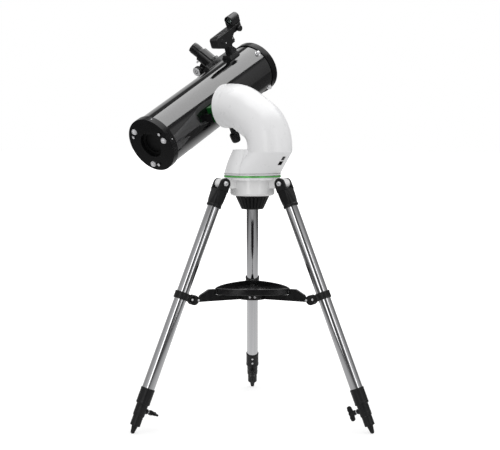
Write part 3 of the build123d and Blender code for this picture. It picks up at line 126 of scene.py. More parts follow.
def finish(name, colour, roughness, mottle=0.10, mottle_size=40.0, grain=0.6, grain_depth=0.02,
           stretch=(1, 1, 1), rough_spread=0.06, round_edge=0.5, wear=1.5, flakes=0.0, shell=None):
    """A procedural material: mottled colour, uneven roughness, grain bump and worn round edges.

    Sizes are millimetres; wear is how much lighter the edges are; shell gives the shader's
    other sockets their plain values.
    """
    material = bpy.data.materials.new(name)
    material.use_nodes = True
    tree = material.node_tree
    link = tree.links.new
    shader = tree.nodes["Principled BSDF"]
    for key, value in (shell or {}).items():
        shader.inputs[key].default_value = value

    where = node(tree, "ShaderNodeTexCoord")
    mapping = node(tree, "ShaderNodeMapping", {"Scale": stretch})
    link(where.outputs["Object"], mapping.inputs["Vector"])

    def noise(size, detail=3.0):
        made = node(tree, "ShaderNodeTexNoise", {"Scale": 1.0 / (size * MM), "Detail": detail})
        link(mapping.outputs[0], made.inputs["Vector"])
        return made.outputs["Fac"]

    def mix(factor, first, second):
        made = node(tree, "ShaderNodeMix", data_type="RGBA")
        link(factor, made.inputs["Factor"])
        for socket, value in ((made.inputs["A"], first), (made.inputs["B"], second)):
            if isinstance(value, tuple):
                socket.default_value = value
            else:
                link(value, socket)
        return made.outputs["Result"]

    patches = spread(tree, noise(mottle_size), 0.0, 1.0)
    tone = mix(patches, shade(colour, 1 - mottle), shade(colour, 1 + mottle))
    if flakes:
        cells = node(tree, "ShaderNodeTexVoronoi", {"Scale": 1.0 / (0.5 * MM)})
        link(mapping.outputs[0], cells.inputs["Vector"])
        lit = spread(tree, cells.outputs["Color"], 0.0, flakes, 0.6, 1.0)
        tone = mix(lit, tone, (0.25, 0.26, 0.28, 1.0))

    edge = node(tree, "ShaderNodeBevel", {"Radius": round_edge * MM}, samples=4)
    geometry = node(tree, "ShaderNodeNewGeometry")
    facing = node(tree, "ShaderNodeVectorMath", operation="DOT_PRODUCT")
    link(edge.outputs[0], facing.inputs[0])
    link(geometry.outputs["Normal"], facing.inputs[1])
    rubbed = spread(tree, facing.outputs["Value"], 0.7, 0.0, 0.80, 0.99)
    tone = mix(rubbed, tone, shade(colour, wear))
    link(tone, shader.inputs["Base Color"])

    rough = spread(tree, noise(mottle_size / 4), roughness - rough_spread, roughness + rough_spread)
    link(rough, shader.inputs["Roughness"])
    bump = node(tree, "ShaderNodeBump", {"Strength": 0.5, "Distance": grain_depth * MM})
    link(noise(grain, 2.0), bump.inputs["Height"])
    link(edge.outputs[0], bump.inputs["Normal"])
    link(bump.outputs[0], shader.inputs["Normal"])
    return material


METAL = {"Metallic": 1.0}
DULL = {"Specular IOR Level": 0.28}
FINISHES = {
    "mount_white": finish(
        "mount_white", srgb(236, 236, 237), 0.30, mottle=0.015, mottle_size=90, grain=1.2,
        grain_depth=0.01, rough_spread=0.03, round_edge=1.2, wear=1.01),
    "head_white": finish(
        "head_white", srgb(236, 236, 236), 0.16, mottle=0.015, mottle_size=60, grain=0.9,
        grain_depth=0.02, wear=1.01),
    "green_anodised": finish(
        "green_anodised", srgb(102, 204, 98), 0.30, mottle=0.05, stretch=(1, 1, 8), grain=0.5,
        wear=1.35, shell={"Metallic": 0.55}),
    "saddle_green": finish(
        "saddle_green", srgb(10, 92, 30), 0.34, mottle=0.10, stretch=(0.2, 1, 1), grain=0.5,
        wear=1.8, shell={"Metallic": 0.5}),
    "black_casting": finish(
        "black_casting", srgb(24, 24, 25), 0.36, grain=0.7, grain_depth=0.05, wear=2.2, shell=DULL),
    "black_knob": finish(
        "black_knob", srgb(19, 19, 20), 0.42, grain=0.6, grain_depth=0.05, wear=2.2, shell=DULL),
    "tray_black": finish(
        "tray_black", srgb(20, 20, 21), 0.20, grain=0.9, grain_depth=0.02, wear=2.4),
    "leg_steel": finish(
        "leg_steel", srgb(208, 208, 210), 0.12, mottle=0.06, mottle_size=9, stretch=(1, 1, 0.02),
        grain=0.5, grain_depth=0.004, rough_spread=0.03, wear=1.1, shell=METAL),
    "bolt_steel": finish(
        "bolt_steel", srgb(236, 236, 238), 0.24, mottle=0.05, mottle_size=4, grain=0.4,
        grain_depth=0.006, wear=1.1, shell={"Metallic": 0.5}),
    "tube_black": finish(
        "tube_black", srgb(14, 14, 15), 0.07, mottle=0.15, grain=1.6, grain_depth=0.006,
        rough_spread=0.02, wear=1.5, flakes=0.03, shell={"IOR": 1.9}),
    "cell_black": finish(
        "cell_black", srgb(15, 15, 16), 0.30, grain=0.6, grain_depth=0.03, wear=3.2,
        shell={"Specular IOR Level": 0.18}),
    "mirror_silver": finish(
        "mirror_silver", srgb(238, 240, 243), 0.03, mottle=0.01, mottle_size=70, grain=3.0,
        grain_depth=0.001, rough_spread=0.01, wear=1.0, shell=METAL),
    "mirror_cell": finish(
        "mirror_cell", srgb(12, 12, 13), 0.55, grain=0.7, grain_depth=0.05, wear=1.5, shell=DULL),
    "finder_black": finish(
        "finder_black", srgb(19, 19, 20), 0.34, grain=0.5, grain_depth=0.04, wear=2.4,
        shell={"Specular IOR Level": 0.6}),
    "eyepiece_black": finish(
        "eyepiece_black", srgb(20, 20, 21), 0.14, mottle=0.12, stretch=(1, 1, 0.2), grain=0.5, wear=2.4),
    "gear_brass": finish(
        "gear_brass", srgb(206, 174, 104), 0.28, mottle=0.08, mottle_size=6, wear=1.3, shell=METAL),
    "motor_steel": finish(
        "motor_steel", srgb(176, 176, 178), 0.34, mottle=0.08, stretch=(1, 1, 0.1), wear=1.2, shell=METAL),
    "board_green": finish(
        "board_green", srgb(22, 110, 66), 0.40, mottle=0.2, mottle_size=5, wear=1.3),
    "socket_black": finish(
        "socket_black", srgb(22, 22, 23), 0.45, grain=0.5, grain_depth=0.04, wear=1.8),
}
GLASS = finish(
    "coated_glass", srgb(196, 214, 208), 0.02, mottle=0.02, grain=3.0, grain_depth=0.001,
    rough_spread=0.01, wear=1.0, shell={"Transmission Weight": 1.0, "IOR": 1.5})
RUBBER = finish(
    "black_rubber", srgb(24, 24, 25), 0.62, grain=0.5, grain_depth=0.08, wear=1.7)
# painted shade: a grey finish for the band that stands for the shade in the turret's groove
GROOVE_SHADE_GREY = finish(
    "painted_groove_shade", srgb(150, 150, 150), 0.55, mottle=0.06, wear=1.1)

for part in frame["record"]["subparts"]:
    mesh = frame["nodes"][part["node"]].data
    mesh.materials.clear()
    mesh.materials.append(FINISHES[part["material_slot"]])


# ---------------------------------------------------------------- shapes
def rounded(corners, radii, steps=4):
    """A closed outline with its corners rounded; radii is one number or one for each corner."""
    if isinstance(radii, (int, float)):
        radii = [radii] * len(corners)
    points = []
    for i, radius in enumerate(radii):
        corner = Vector(corners[i])
        back = Vector(corners[i - 1]) - corner
        ahead = Vector(corners[(i + 1) % len(corners)]) - corner
        half = back.angle(ahead) / 2
        if radius <= 0 or half > radians(88):
            points.append(corner)
            continue
        reach = min(radius / tan(half), 0.48 * back.length, 0.48 * ahead.length)
        centre = corner + (back.normalized() + ahead.normalized()).normalized() * reach / cos(half)
        start = corner + back.normalized() * reach - centre
        end = corner + ahead.normalized() * reach - centre
        for k in range(steps + 1):
            step = start.lerp(end, k / steps)
            points.append(centre + step.normalized() * start.length)
    return [(p.x, p.y) for p in points]


def circle(radius, count=48, x=0.0, y=0.0):
    turns = [2 * pi * i / count for i in range(count)]
    return [(x + radius * cos(a), y + radius * sin(a)) for a in turns]


def fluted(radius, depth, flutes, steps=8):
    """A round outline with scallops cut into it."""
    count = flutes * steps
    turns = [2 * pi * i / count for i in range(count)]
    return [
        ((radius - depth * max(0.0, cos(flutes * a)) ** 2) * cos(a),
         (radius - depth * max(0.0, cos(flutes * a)) ** 2) * sin(a))
        for a in turns
    ]


def arc(radius, start, step, count, x=0.0, y=0.0):
    """Points on a circle from an angle on, in even steps."""
    turns = [radians(start + step * i) for i in range(count)]
    return [(x + radius * cos(a), y + radius * sin(a)) for a in turns]


def box_outline(width, height, radius, x=0.0, y=0.0):
    w, h = width / 2, height / 2
    return rounded([(x - w, y - h), (x + w, y - h), (x + w, y + h), (x - w, y + h)], radius)


def loft(bm, sections, capped=True):
    """Skin over outlines with equal counts of points."""
    loops = [[bm.verts.new(p) for p in section] for section in sections]
    for low, high in zip(loops, loops[1:]):
        for i in range(len(low)):
            bm.faces.new((low[i - 1], low[i], high[i], high[i - 1]))
    if capped:
        bm.faces.new(reversed(loops[0]))
        bm.faces.new(loops[-1])


def prism(bm, outline, low, high, place=Matrix()):
    """An outline in x and y drawn out along z."""
    loft(bm, [[place @ Vector((x, y, z)) for x, y in outline] for z in (low, high)])


def hollow(bm, outer, inner, low, high, place=Matrix()):
    """Walls between two outlines with equal counts, drawn out along z."""
    loops = []
    for ring, level in ((outer, low), (outer, high), (inner, high), (inner, low)):
        loops.append([bm.verts.new(place @ Vector((p[0], p[1], level))) for p in ring])
    for first, second in zip(loops, loops[1:] + loops[:1]):
        for i in range(len(outer)):
            bm.faces.new((first[i - 1], first[i], second[i], second[i - 1]))


def tapered(bm, outline, levels, place=Matrix()):
    """An outline in x and y carried up z, scaled at each (height, scale) of levels."""
    loft(bm, [[place @ Vector((x * s, y * s, z)) for x, y in outline] for z, s in levels])


def lathe(bm, profile, place=Matrix(), steps=72):
    """A closed profile of (radius, height) turned about z."""
    loops = []
    for radius, height in profile:
        if radius < 0.001:
            loops.append([bm.verts.new(place @ Vector((0, 0, height)))])
        else:
            loops.append([bm.verts.new(place @ Vector((x, y, height))) for x, y in circle(radius, steps)])
    for low, high in zip(loops, loops[1:] + loops[:1]):
        for i in range(steps):
            corners = []
            for loop, j in ((low, i - 1), (low, i), (high, i), (high, i - 1)):
                vertex = loop[j % len(loop)]
                if vertex not in corners:
                    corners.append(vertex)
            if len(corners) > 2:
                bm.faces.new(corners)


def turned(bm, corners, radius=0.6, place=Matrix(), steps=72):
    """A turned solid from profile corners; those off the axis are rounded."""
    radii = [radius if r > 0.001 else 0.0 for r, z in corners]
    lathe(bm, rounded(corners, radii, 3), place, steps)


def piece(name, bm, place, body, slot, bevel=0.0, hides=(), material=None):
    """Finish a mesh drawn in millimetres, put it in its place and let it ride on a body."""
    bmesh.ops.remove_doubles(bm, verts=bm.verts, dist=0.0005)
    bmesh.ops.recalc_face_normals(bm, faces=bm.faces)
    bmesh.ops.scale(bm, vec=(MM, MM, MM), verts=bm.verts)
    mesh = bpy.data.meshes.new(name)
    bm.to_mesh(mesh)
    bm.free()
    mesh.materials.append(material or FINISHES[slot])
    mesh.shade_smooth()
    mesh.set_sharp_from_angle(angle=SHARP)
    made = bpy.data.objects.new(name, mesh)
    bpy.context.scene.collection.objects.link(made)
    metres = place.copy()
    metres.translation *= MM
    made.matrix_world = metres
    if bevel:
        edge = made.modifiers.new("edge", "BEVEL")
        edge.width = bevel * MM
        edge.segments = 3
        edge.limit_method = "ANGLE"
        edge.angle_limit = SHARP
        edge.harden_normals = True
    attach(made, body)
    if hides:
        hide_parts(*hides)
    return made


def screw_cap(bm, place, radius=4.2, height=2.6, hex_radius=1.9):
    """A button head with a hexagon socket, standing on z = 0."""
    hexagon = circle(hex_radius, 6)
    rim = [(radius, 0.0), (radius, height * 0.45), (radius * 0.86, height * 0.8), (radius * 0.62, height)]
    outer = [[place @ Vector((x, y, z)) for x, y in circle(r, 24)] for r, z in rim]
    loft(bm, outer, capped=False)
    floor = [bm.verts.new(place @ Vector((x, y, height * 0.35))) for x, y in hexagon]
    mouth = [bm.verts.new(place @ Vector((x, y, height))) for x, y in hexagon]
    ring = [bm.verts.new(place @ Vector((x, y, height))) for x, y in circle(radius * 0.62, 24)]
    bm.faces.new(floor)
    for i in range(6):
        bm.faces.new((mouth[i - 1], mouth[i], floor[i], floor[i - 1]))
        fan = [ring[(4 * (i - 1) + k) % 24] for k in range(5)]
        bm.faces.new([mouth[i], mouth[i - 1]] + fan)


# ---------------------------------------------------------------- legs
LUG_WIDTH = 28.0
CHEEK_IN = LUG_WIDTH / 2 + 0.4
CHEEK_T = 7.6
CHEEK_OUT = CHEEK_IN + CHEEK_T
CHEEK_R = 14.0
LEG_TOP_LENGTH = 64.0
SOCKET_TOP = -36.0
BLOCK_TOP = -17.0
TAPER_TOP = -20.0
TUBE_STEEL_R = 15.9
LEG_SOCKET_R = 19.5
SOCKET_RIM = -58.0          # upper edge of the socket's straight rim
BORE_R = TUBE_STEEL_R + 0.1     # of what fits round the leg tube
SLIDER_R = 12.7
SLIDER_END = -(LEG_LENGTH - 46.0)
SLIDER_LENGTH = 500.0
CLAMP_BOTTOM = SLIDER_END + 0.4
CLAMP_SHOULDER = CLAMP_BOTTOM + 32.0
CLAMP_LENGTH = 40.0
CLAMP_R = 18.0
SLEEVE_R = 14.75
WING_Z = -(LEG_LENGTH - 62.0)
BOSS_X = -(SLEEVE_R + 5.5)
WING_STANDOFF = 4.5
WING_HUB_R = 6.5
WING_SPAN = 40.0
WING_TURNS = (0.0, 90.0, 0.0)
KNUCKLE_R = 163.0
KNUCKLE_Z = 322.2
KNUCKLE_X, KNUCKLE_LEVEL = leg_point(KNUCKLE_R, KNUCKLE_Z)
EAR_X = KNUCKLE_X + 11.0
EAR_LEVEL = KNUCKLE_LEVEL - 3.6
EAR_IN = 4.4
EAR_OUT = 8.8
EAR_R = 13.0
COLLAR_R = 19.0
COLLAR_HALF = 9.5
SIDEWAYS = turn("X", 90)    # outline x and y become the leg's x and z; z becomes -y


def leg_top():
    """Casting with two cheeks about the head's lug and a socket for the tube."""
    bm = bmesh.new()
    cheek = arc(CHEEK_R, 0, 9, 21)
    cheek += [(-CHEEK_R - 0.6, TAPER_TOP), (CHEEK_R + 0.6, TAPER_TOP)]
    inner = [(x * 0.74, y * 0.74 if y > 0 else y + 2.5) for x, y in cheek]
    for side in (-1, 1):
        face = side * CHEEK_OUT
        loft(bm, [
            [SIDEWAYS @ Vector((x, y, side * CHEEK_IN)) for x, y in cheek],
            [SIDEWAYS @ Vector((x, y, face - side * 1.4)) for x, y in cheek],
            [SIDEWAYS @ Vector((x * 0.93, y * 0.93, face)) for x, y in cheek],
            [SIDEWAYS @ Vector((x, y, face)) for x, y in inner],
            [SIDEWAYS @ Vector((x * 0.97, y, face - side * 0.9)) for x, y in inner],
        ])
    block = box_outline(2 * CHEEK_R, 2 * CHEEK_IN, 0.2)
    prism(bm, block, TAPER_TOP - 2.0, BLOCK_TOP)
    count = 64
    sections = []
    for step in range(11):
        t = step / 10
        power = 9.0 - 7.0 * t ** 0.6
        wide = CHEEK_R + 0.6 + (LEG_SOCKET_R - 1.5 - CHEEK_R) * t
        deep = CHEEK_OUT - (CHEEK_OUT - LEG_SOCKET_R + 0.9) * t
        level = TAPER_TOP - t * (TAPER_TOP - SOCKET_RIM - 1.0)
        ring = []
        for x, y in circle(1.0, count):
            reach = (abs(x / wide) ** power + abs(y / deep) ** power) ** (-1 / power)
            ring.append(Vector((x * reach, y * reach, level)))
        sections.append(ring)
    for radius, level in (
        (LEG_SOCKET_R, SOCKET_RIM), (LEG_SOCKET_R, 1.0 - LEG_TOP_LENGTH),
        (LEG_SOCKET_R - 0.8, -LEG_TOP_LENGTH), (BORE_R, -LEG_TOP_LENGTH), (BORE_R, SOCKET_RIM),
    ):
        sections.append([Vector((x, y, level)) for x, y in circle(radius, count)])
    loft(bm, sections)
    return bm


def foot_clamp():
    """Plastic clamp: a ribbed grip over the tube, and a sleeve with the screw's boss."""
    bm = bmesh.new()
    top = CLAMP_SHOULDER + CLAMP_LENGTH
    turned(bm, [
        (BORE_R, top), (CLAMP_R, top), (CLAMP_R, top - 5.0), (CLAMP_R - 0.5, top - 5.6),
        (CLAMP_R - 0.5, CLAMP_SHOULDER + 5.6), (CLAMP_R, CLAMP_SHOULDER + 5.0), (CLAMP_R, CLAMP_SHOULDER),
        (SLEEVE_R, CLAMP_SHOULDER - 2.5), (SLEEVE_R, CLAMP_BOTTOM), (SLIDER_R + 0.1, CLAMP_BOTTOM),
        (SLIDER_R + 0.1, CLAMP_SHOULDER + 2.0), (BORE_R, CLAMP_SHOULDER + 2.0),
    ], 0.8)
    for i in range(12):
        rib = turn("Z", 15 + 30 * i) @ at(CLAMP_R - 0.6, 0, 0)
        prism(bm, box_outline(1.1, 2.0, 0.4), CLAMP_SHOULDER + 6.5, top - 6.5, rib)
    for band in (8.0, 20.0):
        turned(bm, [
            (SLEEVE_R - 0.3, CLAMP_BOTTOM + band), (SLEEVE_R + 0.5, CLAMP_BOTTOM + band + 0.5),
            (SLEEVE_R + 0.5, CLAMP_BOTTOM + band + 1.8), (SLEEVE_R - 0.3, CLAMP_BOTTOM + band + 2.3),
        ], 0.3)
    boss = at(BOSS_X, 0, WING_Z) @ TO_X
    turned(bm, [(3.3, 0.0), (6.6, 0.0), (7.0, 7.0), (7.6, 10.0), (3.3, 10.0)], 0.7, boss, 40)
    return bm


def wing_bolt():
    """Plastic wing about its own screw, which is the z axis here: a hub with two lobes."""
    bm = bmesh.new()
    turned(bm, [(0, 0), (5.6, 0), (WING_HUB_R, 2.0), (WING_HUB_R, 7.0), (5.0, 12.0), (5.0, 19.5), (0, 19.5)],
           1.2, steps=40)
    half = WING_SPAN / 2
    lobes = [
        (-4.0, 6.6), (-10.0, 7.6), (-half + 3.0, 8.6), (-half, 13.0), (-half + 1.6, 19.0), (-10.0, 20.6),
        (-4.0, 19.0), (4.0, 19.0), (10.0, 20.6), (half - 1.6, 19.0), (half, 13.0), (half - 3.0, 8.6),
        (10.0, 7.6), (4.0, 6.6),
    ]
    outline = rounded(lobes, 2.2)
    prism(bm, outline, -2.4, 2.4, SIDEWAYS)
    for side in (-1, 1):
        for ridge in (9.0, 12.0, 15.0):
            bar = at(side * ridge, 0, 14.0) @ SIDEWAYS
            prism(bm, box_outline(1.2, 8.0, 0.5), -2.9, 2.9, bar)
    return bm


def collar():
    """Band round the leg with two round ears for the spreader arm."""
    bm = bmesh.new()
    turned(bm, [
        (BORE_R, EAR_LEVEL - COLLAR_HALF), (COLLAR_R, EAR_LEVEL - COLLAR_HALF),
        (COLLAR_R, EAR_LEVEL + COLLAR_HALF), (BORE_R, EAR_LEVEL + COLLAR_HALF),
    ], 1.0)
    for lip in (-1, 1):
        level = EAR_LEVEL + lip * (COLLAR_HALF - 2.2)
        turned(bm, [(COLLAR_R - 0.4, level - 1.1), (COLLAR_R + 0.5, level - 0.7),
                    (COLLAR_R + 0.5, level + 0.7), (COLLAR_R - 0.4, level + 1.1)], 0.3)
    for side in (-1, 1):
        low, high = sorted((side * EAR_IN, side * EAR_OUT))
        plate = at(EAR_X, 0, EAR_LEVEL) @ SIDEWAYS
        prism(bm, circle(EAR_R, 56), low, high, plate)
        prism(bm, box_outline(-EAR_X, 16.0, 0.5, -EAR_X / 2, 0), low, high - 0.2 * (side > 0), plate)
    web = at(0, 0, EAR_LEVEL) @ SIDEWAYS
    reach = -(KNUCKLE_X + 14.5)
    prism(bm, box_outline(reach, 16.0, 0.5, -reach / 2, 0), -4.5, 4.5, web)
    return bm


def ear_caps():
    """Plated heads of the ear rivet and of the arm's pivot pin, on both sides."""
    bm = bmesh.new()
    for side in (-1, 1):
        for x, z in ((KNUCKLE_X, KNUCKLE_LEVEL), (EAR_X + 6.5, EAR_LEVEL - 0.5)):
            head = at(x, side * EAR_OUT, z) @ turn("X", -90 * side)
            turned(bm, [(0, 0), (3.0, 0), (3.0, 1.0), (1.6, 2.0), (0, 2.0)], 0.5, head, 32)
    return bm


def tube_of(radius, wall, low, high):
    bm = bmesh.new()
    turned(bm, [(radius, low), (radius, high), (radius - wall, high), (radius - wall, low)], 0.3, steps=96)
    return bm


TUBE_TOP = SOCKET_TOP - 0.4
TUBE_END = CLAMP_SHOULDER + 2.0

for k, leg in enumerate(LEGS, start=1):
    hanging = leg @ HANG
    body = f"leg_{k}"
    piece(f"leg_top_casting_{k}", leg_top(), hanging, body, "black_casting", 0.5, [f"leg_top_{k}"])
    piece(f"steel_tube_{k}", tube_of(TUBE_STEEL_R, 1.3, TUBE_END, TUBE_TOP), hanging, body,
          "leg_steel", hides=[f"leg_tube_{k}"])
    piece(f"steel_slider_{k}", tube_of(SLIDER_R, 1.2, SLIDER_END, SLIDER_END + SLIDER_LENGTH), hanging,
          f"leg_extension_{k}", "leg_steel", hides=[f"slider_tube_{k}"])
    piece(f"clamp_casting_{k}", foot_clamp(), hanging, body, "black_casting", 0.3, [f"foot_clamp_{k}"])
    wing = hanging @ at(BOSS_X - WING_STANDOFF, 0, WING_Z) @ turn("X", WING_TURNS[k - 1]) @ turn("Y", -90)
    piece(f"wing_{k}", wing_bolt(), wing, f"wing_bolt_{k}", "black_knob", 0.9, [f"wing_bolt_{k}"])
    screw = bmesh.new()
    turned(screw, [(0, 3.0), (0, -11.0), (3.0, -11.0), (3.0, 3.0)], 0.3, steps=24)
    for ring in range(4):
        thread = [(2.9, -0.4 - ring), (3.2, -0.7 - ring), (3.2, -0.9 - ring), (2.9, -1.2 - ring)]
        turned(screw, thread, 0.05, steps=24)
    piece(f"wing_screw_{k}", screw, wing, f"wing_bolt_{k}", "bolt_steel")
    piece(f"collar_band_{k}", collar(), hanging, body, "black_casting", 0.7, [f"leg_collar_{k}"])
    piece(f"ear_caps_{k}", ear_caps(), hanging, body, "bolt_steel")
    rivets = bmesh.new()
    for level in (14.2, 28.6):
        screw_cap(rivets, at(-CLAMP_R + 0.5, 0, CLAMP_SHOULDER + level) @ turn("Y", -90), 2.9, 1.8, 1.2)
    piece(f"clamp_screws_{k}", rivets, hanging, body, "bolt_steel")

# ---------------------------------------------------------------- spreader
ARM_END_R = 5.5
ARM_CREST_OUT = 129.5
ARM_CREST_IN = 112.0
ARM_CREST_Z = 347.0         # top of the arm outside the tray
HUB_PIVOT_R = 26.0
HUB_PIVOT_Z = 320.0
TRAY_Z = 332.0
HUB_R = 38.0
HUB_LOW = 314.2
SLOT_HALF = 4.4


def spreader_arm():
    """Moulded arm: a full-depth edge about a thinner web."""
    bm = bmesh.new()
    top = [
        (KNUCKLE_R - 5.0, KNUCKLE_Z + 6.0), (KNUCKLE_R - 9.0, KNUCKLE_Z + 12.0),
        (ARM_CREST_OUT, ARM_CREST_Z), (ARM_CREST_IN, ARM_CREST_Z), (ARM_CREST_IN, TRAY_Z + 3.0),
        (ARM_CREST_IN - 6.0, TRAY_Z - 1.5), (HUB_R + 6.0, TRAY_Z - 4.0),
    ]
    knuckle = arc(ARM_END_R, -95, 18, 11, KNUCKLE_R, KNUCKLE_Z)
    pivot = arc(ARM_END_R, 90, 18, 11, HUB_PIVOT_R, HUB_PIVOT_Z)
    outline = knuckle + rounded(top, [0.5, 3.0, 3.0, 1.0, 1.0, 1.0, 0.5]) + pivot
    prism(bm, outline, -2.6, 2.6, SIDEWAYS)
    for side in (-1, 1):
        low, high = sorted((side * 2.0, side * 4.0))
        for x, z in ((KNUCKLE_R, KNUCKLE_Z), (HUB_PIVOT_R, HUB_PIVOT_Z)):
            prism(bm, circle(ARM_END_R, 40, x, z), low, high, SIDEWAYS)
        rail(bm, outline, 2.6, low, high)
    return bm


def rail(bm, outline, width, low, high):
    """A raised edge that follows an outline, its inner side moved in by width."""
    inner = []
    count = len(outline)
    for i in range(count):
        before, here, after = (Vector(outline[(i + d) % count]) for d in (-1, 0, 1))
        along = (here - before).normalized() + (after - here).normalized()
        inner.append(here + Vector((-along.y, along.x)).normalized() * width)
    hollow(bm, outline, inner, low, high, SIDEWAYS)


def spreader_hub():
    """Three wedges that leave slots for the arms, under a disc."""
    bm = bmesh.new()
    reach = asin(SLOT_HALF / HUB_R)
    for k in range(LEG_COUNT):
        start, end = reach - pi / 3, pi / 3 - reach
        wedge = [(SLOT_HALF / sin(pi / 3), 0.0)]
        for step in range(17):
            a = start + (end - start) * step / 16
            wedge.append((HUB_R * cos(a), HUB_R * sin(a)))
        prism(bm, wedge, HUB_LOW, TRAY_Z - 0.6, turn("Z", FIRST_LEG + 60.0 + k * 360.0 / LEG_COUNT))
    prism(bm, circle(HUB_R - 1.0, 64), TRAY_Z - 3.0, TRAY_Z)
    return bm


hub_screws = bmesh.new()
piece("slotted_hub", spreader_hub(), MOUNT, "spreader", "tray_black", 0.6, ["spreader_hub"])
for k, leg in enumerate(LEGS, start=1):
    piece(f"arm_moulding_{k}", spreader_arm(), leg, f"spreader_arm_{k}", "tray_black", 0.4,
          [f"spreader_arm_{k}"])
    for side in (-1, 1):
        away = MOUNT.inverted() @ leg @ turn("Z", 60) @ at(HUB_R, side * 6.5, HUB_PIVOT_Z + 2.5) @ TO_X
        screw_cap(hub_screws, away, 3.0, 1.8, 1.2)
piece("hub_screws", hub_screws, MOUNT, "spreader", "bolt_steel")

# ---------------------------------------------------------------- tripod head and base
HEAD_BOTTOM = 584.5
KNOB_TOP_R = 43.5
KNOB_PLATE = 4.2            # smooth plate on top of the cone
CLAMP_BOLT_R = 4.76
CLAMP_BOLT_TOP = 637.0
RING_R = 74.4
RING_BORE_R = 70.4
RING_Z = 633.0
RING_H = 3.8

cone = bmesh.new()
flutes = fluted(1.0, 0.07, 24)
tapered(cone, flutes, [
    (HEAD_BOTTOM - 35.4, 27.2), (HEAD_BOTTOM - 34.6, 28.6), (HEAD_BOTTOM - 30.0, 31.0),
    (HEAD_BOTTOM - 6.0, 42.0), (HEAD_BOTTOM - 3.6, 43.2),
])
turned(cone, [
    (0, HEAD_BOTTOM - KNOB_PLATE), (KNOB_TOP_R, HEAD_BOTTOM - KNOB_PLATE), (KNOB_TOP_R, HEAD_BOTTOM - 0.4),
    (0, HEAD_BOTTOM - 0.4),
], 0.9)
turned(cone, [
    (CLAMP_BOLT_R, HEAD_BOTTOM - 1.0), (CLAMP_BOLT_R, CLAMP_BOLT_TOP), (0, CLAMP_BOLT_TOP),
    (0, HEAD_BOTTOM - 1.0),
], 0.4, steps=32)
turned(cone, [
    (0, HEAD_BOTTOM - 35.6), (17.0, HEAD_BOTTOM - 35.6), (19.0, HEAD_BOTTOM - 35.0), (0, HEAD_BOTTOM - 35.0),
], 0.3)
piece("cone_knob", cone, MOUNT, "clamp_knob", "black_knob", 0.3, ["clamp_knob"])

ring = bmesh.new()
turned(ring, [
    (RING_BORE_R, RING_Z), (RING_R, RING_Z), (RING_R, RING_Z + RING_H), (RING_BORE_R, RING_Z + RING_H),
], 0.7, steps=160)
piece("anodised_ring", ring, MOUNT, "tripod_head", "green_anodised", hides=["green_ring"])

bolts = bmesh.new()
for leg in LEGS:
    for side in (-1, 1):
        head = MOUNT.inverted() @ leg @ at(HINGE_R, side * (CHEEK_OUT - 1.2), HINGE_Z) @ turn("X", -90 * side)
        screw_cap(bolts, head, 6.2, 5.2, 2.9)
        turned(bolts, [(0, -CHEEK_T - 2.0), (4.0, -CHEEK_T - 2.0), (4.0, 0.3), (0, 0.3)], 0.2, head, 32)
piece("hinge_caps", bolts, MOUNT, "tripod_head", "bolt_steel", hides=["hinge_bolts"])

# ---------------------------------------------------------------- turning mount
TURRET_Z = 638.4
GROOVE_LOW = TURRET_Z + 3.6
GROOVE_HIGH = TURRET_Z + 4.6

# painted shade: a grey band on the turret, painted where the shade in its groove falls
groove = bmesh.new()
turned(groove, [
    (72.4, GROOVE_LOW), (74.35, GROOVE_LOW), (74.3, GROOVE_HIGH), (72.4, GROOVE_HIGH),
], 0.1, steps=160)
piece("turret_groove_shade", groove, MOUNT, "mount", "mount_white", material=GROOVE_SHADE_GREY)

# ---------------------------------------------------------------- optical tube
TUBE_R = 71.3
END_RING_R = 74.0
TUBE_REAR = -206.1
TUBE_FRONT = 270.6
FRONT_RING = 21.7
FRONT_LIP_R = 67.0
MOUTH_R = 73.8              # just inside the solid end ring
CELL_PLATE = 3.0
BACKING_R = 27.5
BACKING_LOW = TUBE_REAR + 14.6
BACKING_HIGH = TUBE_REAR + 15.9
COLLIMATION_PCR = 56.0
COLLIMATION_ANGLE = 45.0
COLLIMATION_R = 8.0
LOCK_ANGLE = 20.0           # from each collimation knob to its lock screw
SPIDER_X = 239.0
SPIDER_ANGLE = -44.0
SPIDER_HUB_R = 12.0
NUT_R = 6.2
NUT_RISE = 3.2              # middle of a nut's dome above the tube
VANES = 4
SECONDARY_R = 17.0
SECONDARY_T = 5.0
FOCUS_X = 168.0
FOCUS_ANGLE = 45.0
SECONDARY_FRONT = FOCUS_X + SECONDARY_T * 1.4142
SECONDARY_BACK = FOCUS_X + SECONDARY_R + 10.0

front = bmesh.new()
turned(front, [
    (FRONT_LIP_R, TUBE_FRONT), (MOUTH_R, TUBE_FRONT), (MOUTH_R, TUBE_FRONT - FRONT_RING),
    (TUBE_R + 0.05, TUBE_FRONT - FRONT_RING), (TUBE_R + 0.05, TUBE_FRONT - CELL_PLATE),
    (FRONT_LIP_R, TUBE_FRONT - CELL_PLATE),
], 1.1, TO_X, 160)
piece("mouth_ring", front, TUBE, "tube_assembly", "cell_black", hides=["front_ring"])

for j in range(3):
    knob = bmesh.new()
    around = turn("X", 120.0 * j - COLLIMATION_ANGLE)
    centre = around @ at(TUBE_REAR - 0.4, 0, COLLIMATION_PCR) @ turn("Y", -90)
    tapered(knob, fluted(COLLIMATION_R, 0.7, 20), [(0.0, 0.93), (0.5, 1.0), (2.9, 1.0), (3.3, 0.9)], centre)
    turned(knob, [(0, -18.0), (2.0, -18.0), (2.0, -0.2), (0, -0.2)], 0.2, centre, 24)
    turned(knob, [(0, 3.0), (5.6, 3.0), (5.6, 6.0), (3.6, 7.6), (0, 8.1)], 0.9, centre, 40)
    piece(f"knurled_knob_{j + 1}", knob, TUBE, f"collimation_knob_{j + 1}", "bolt_steel", 0.15,
          [f"collimation_knob_{j + 1}"])

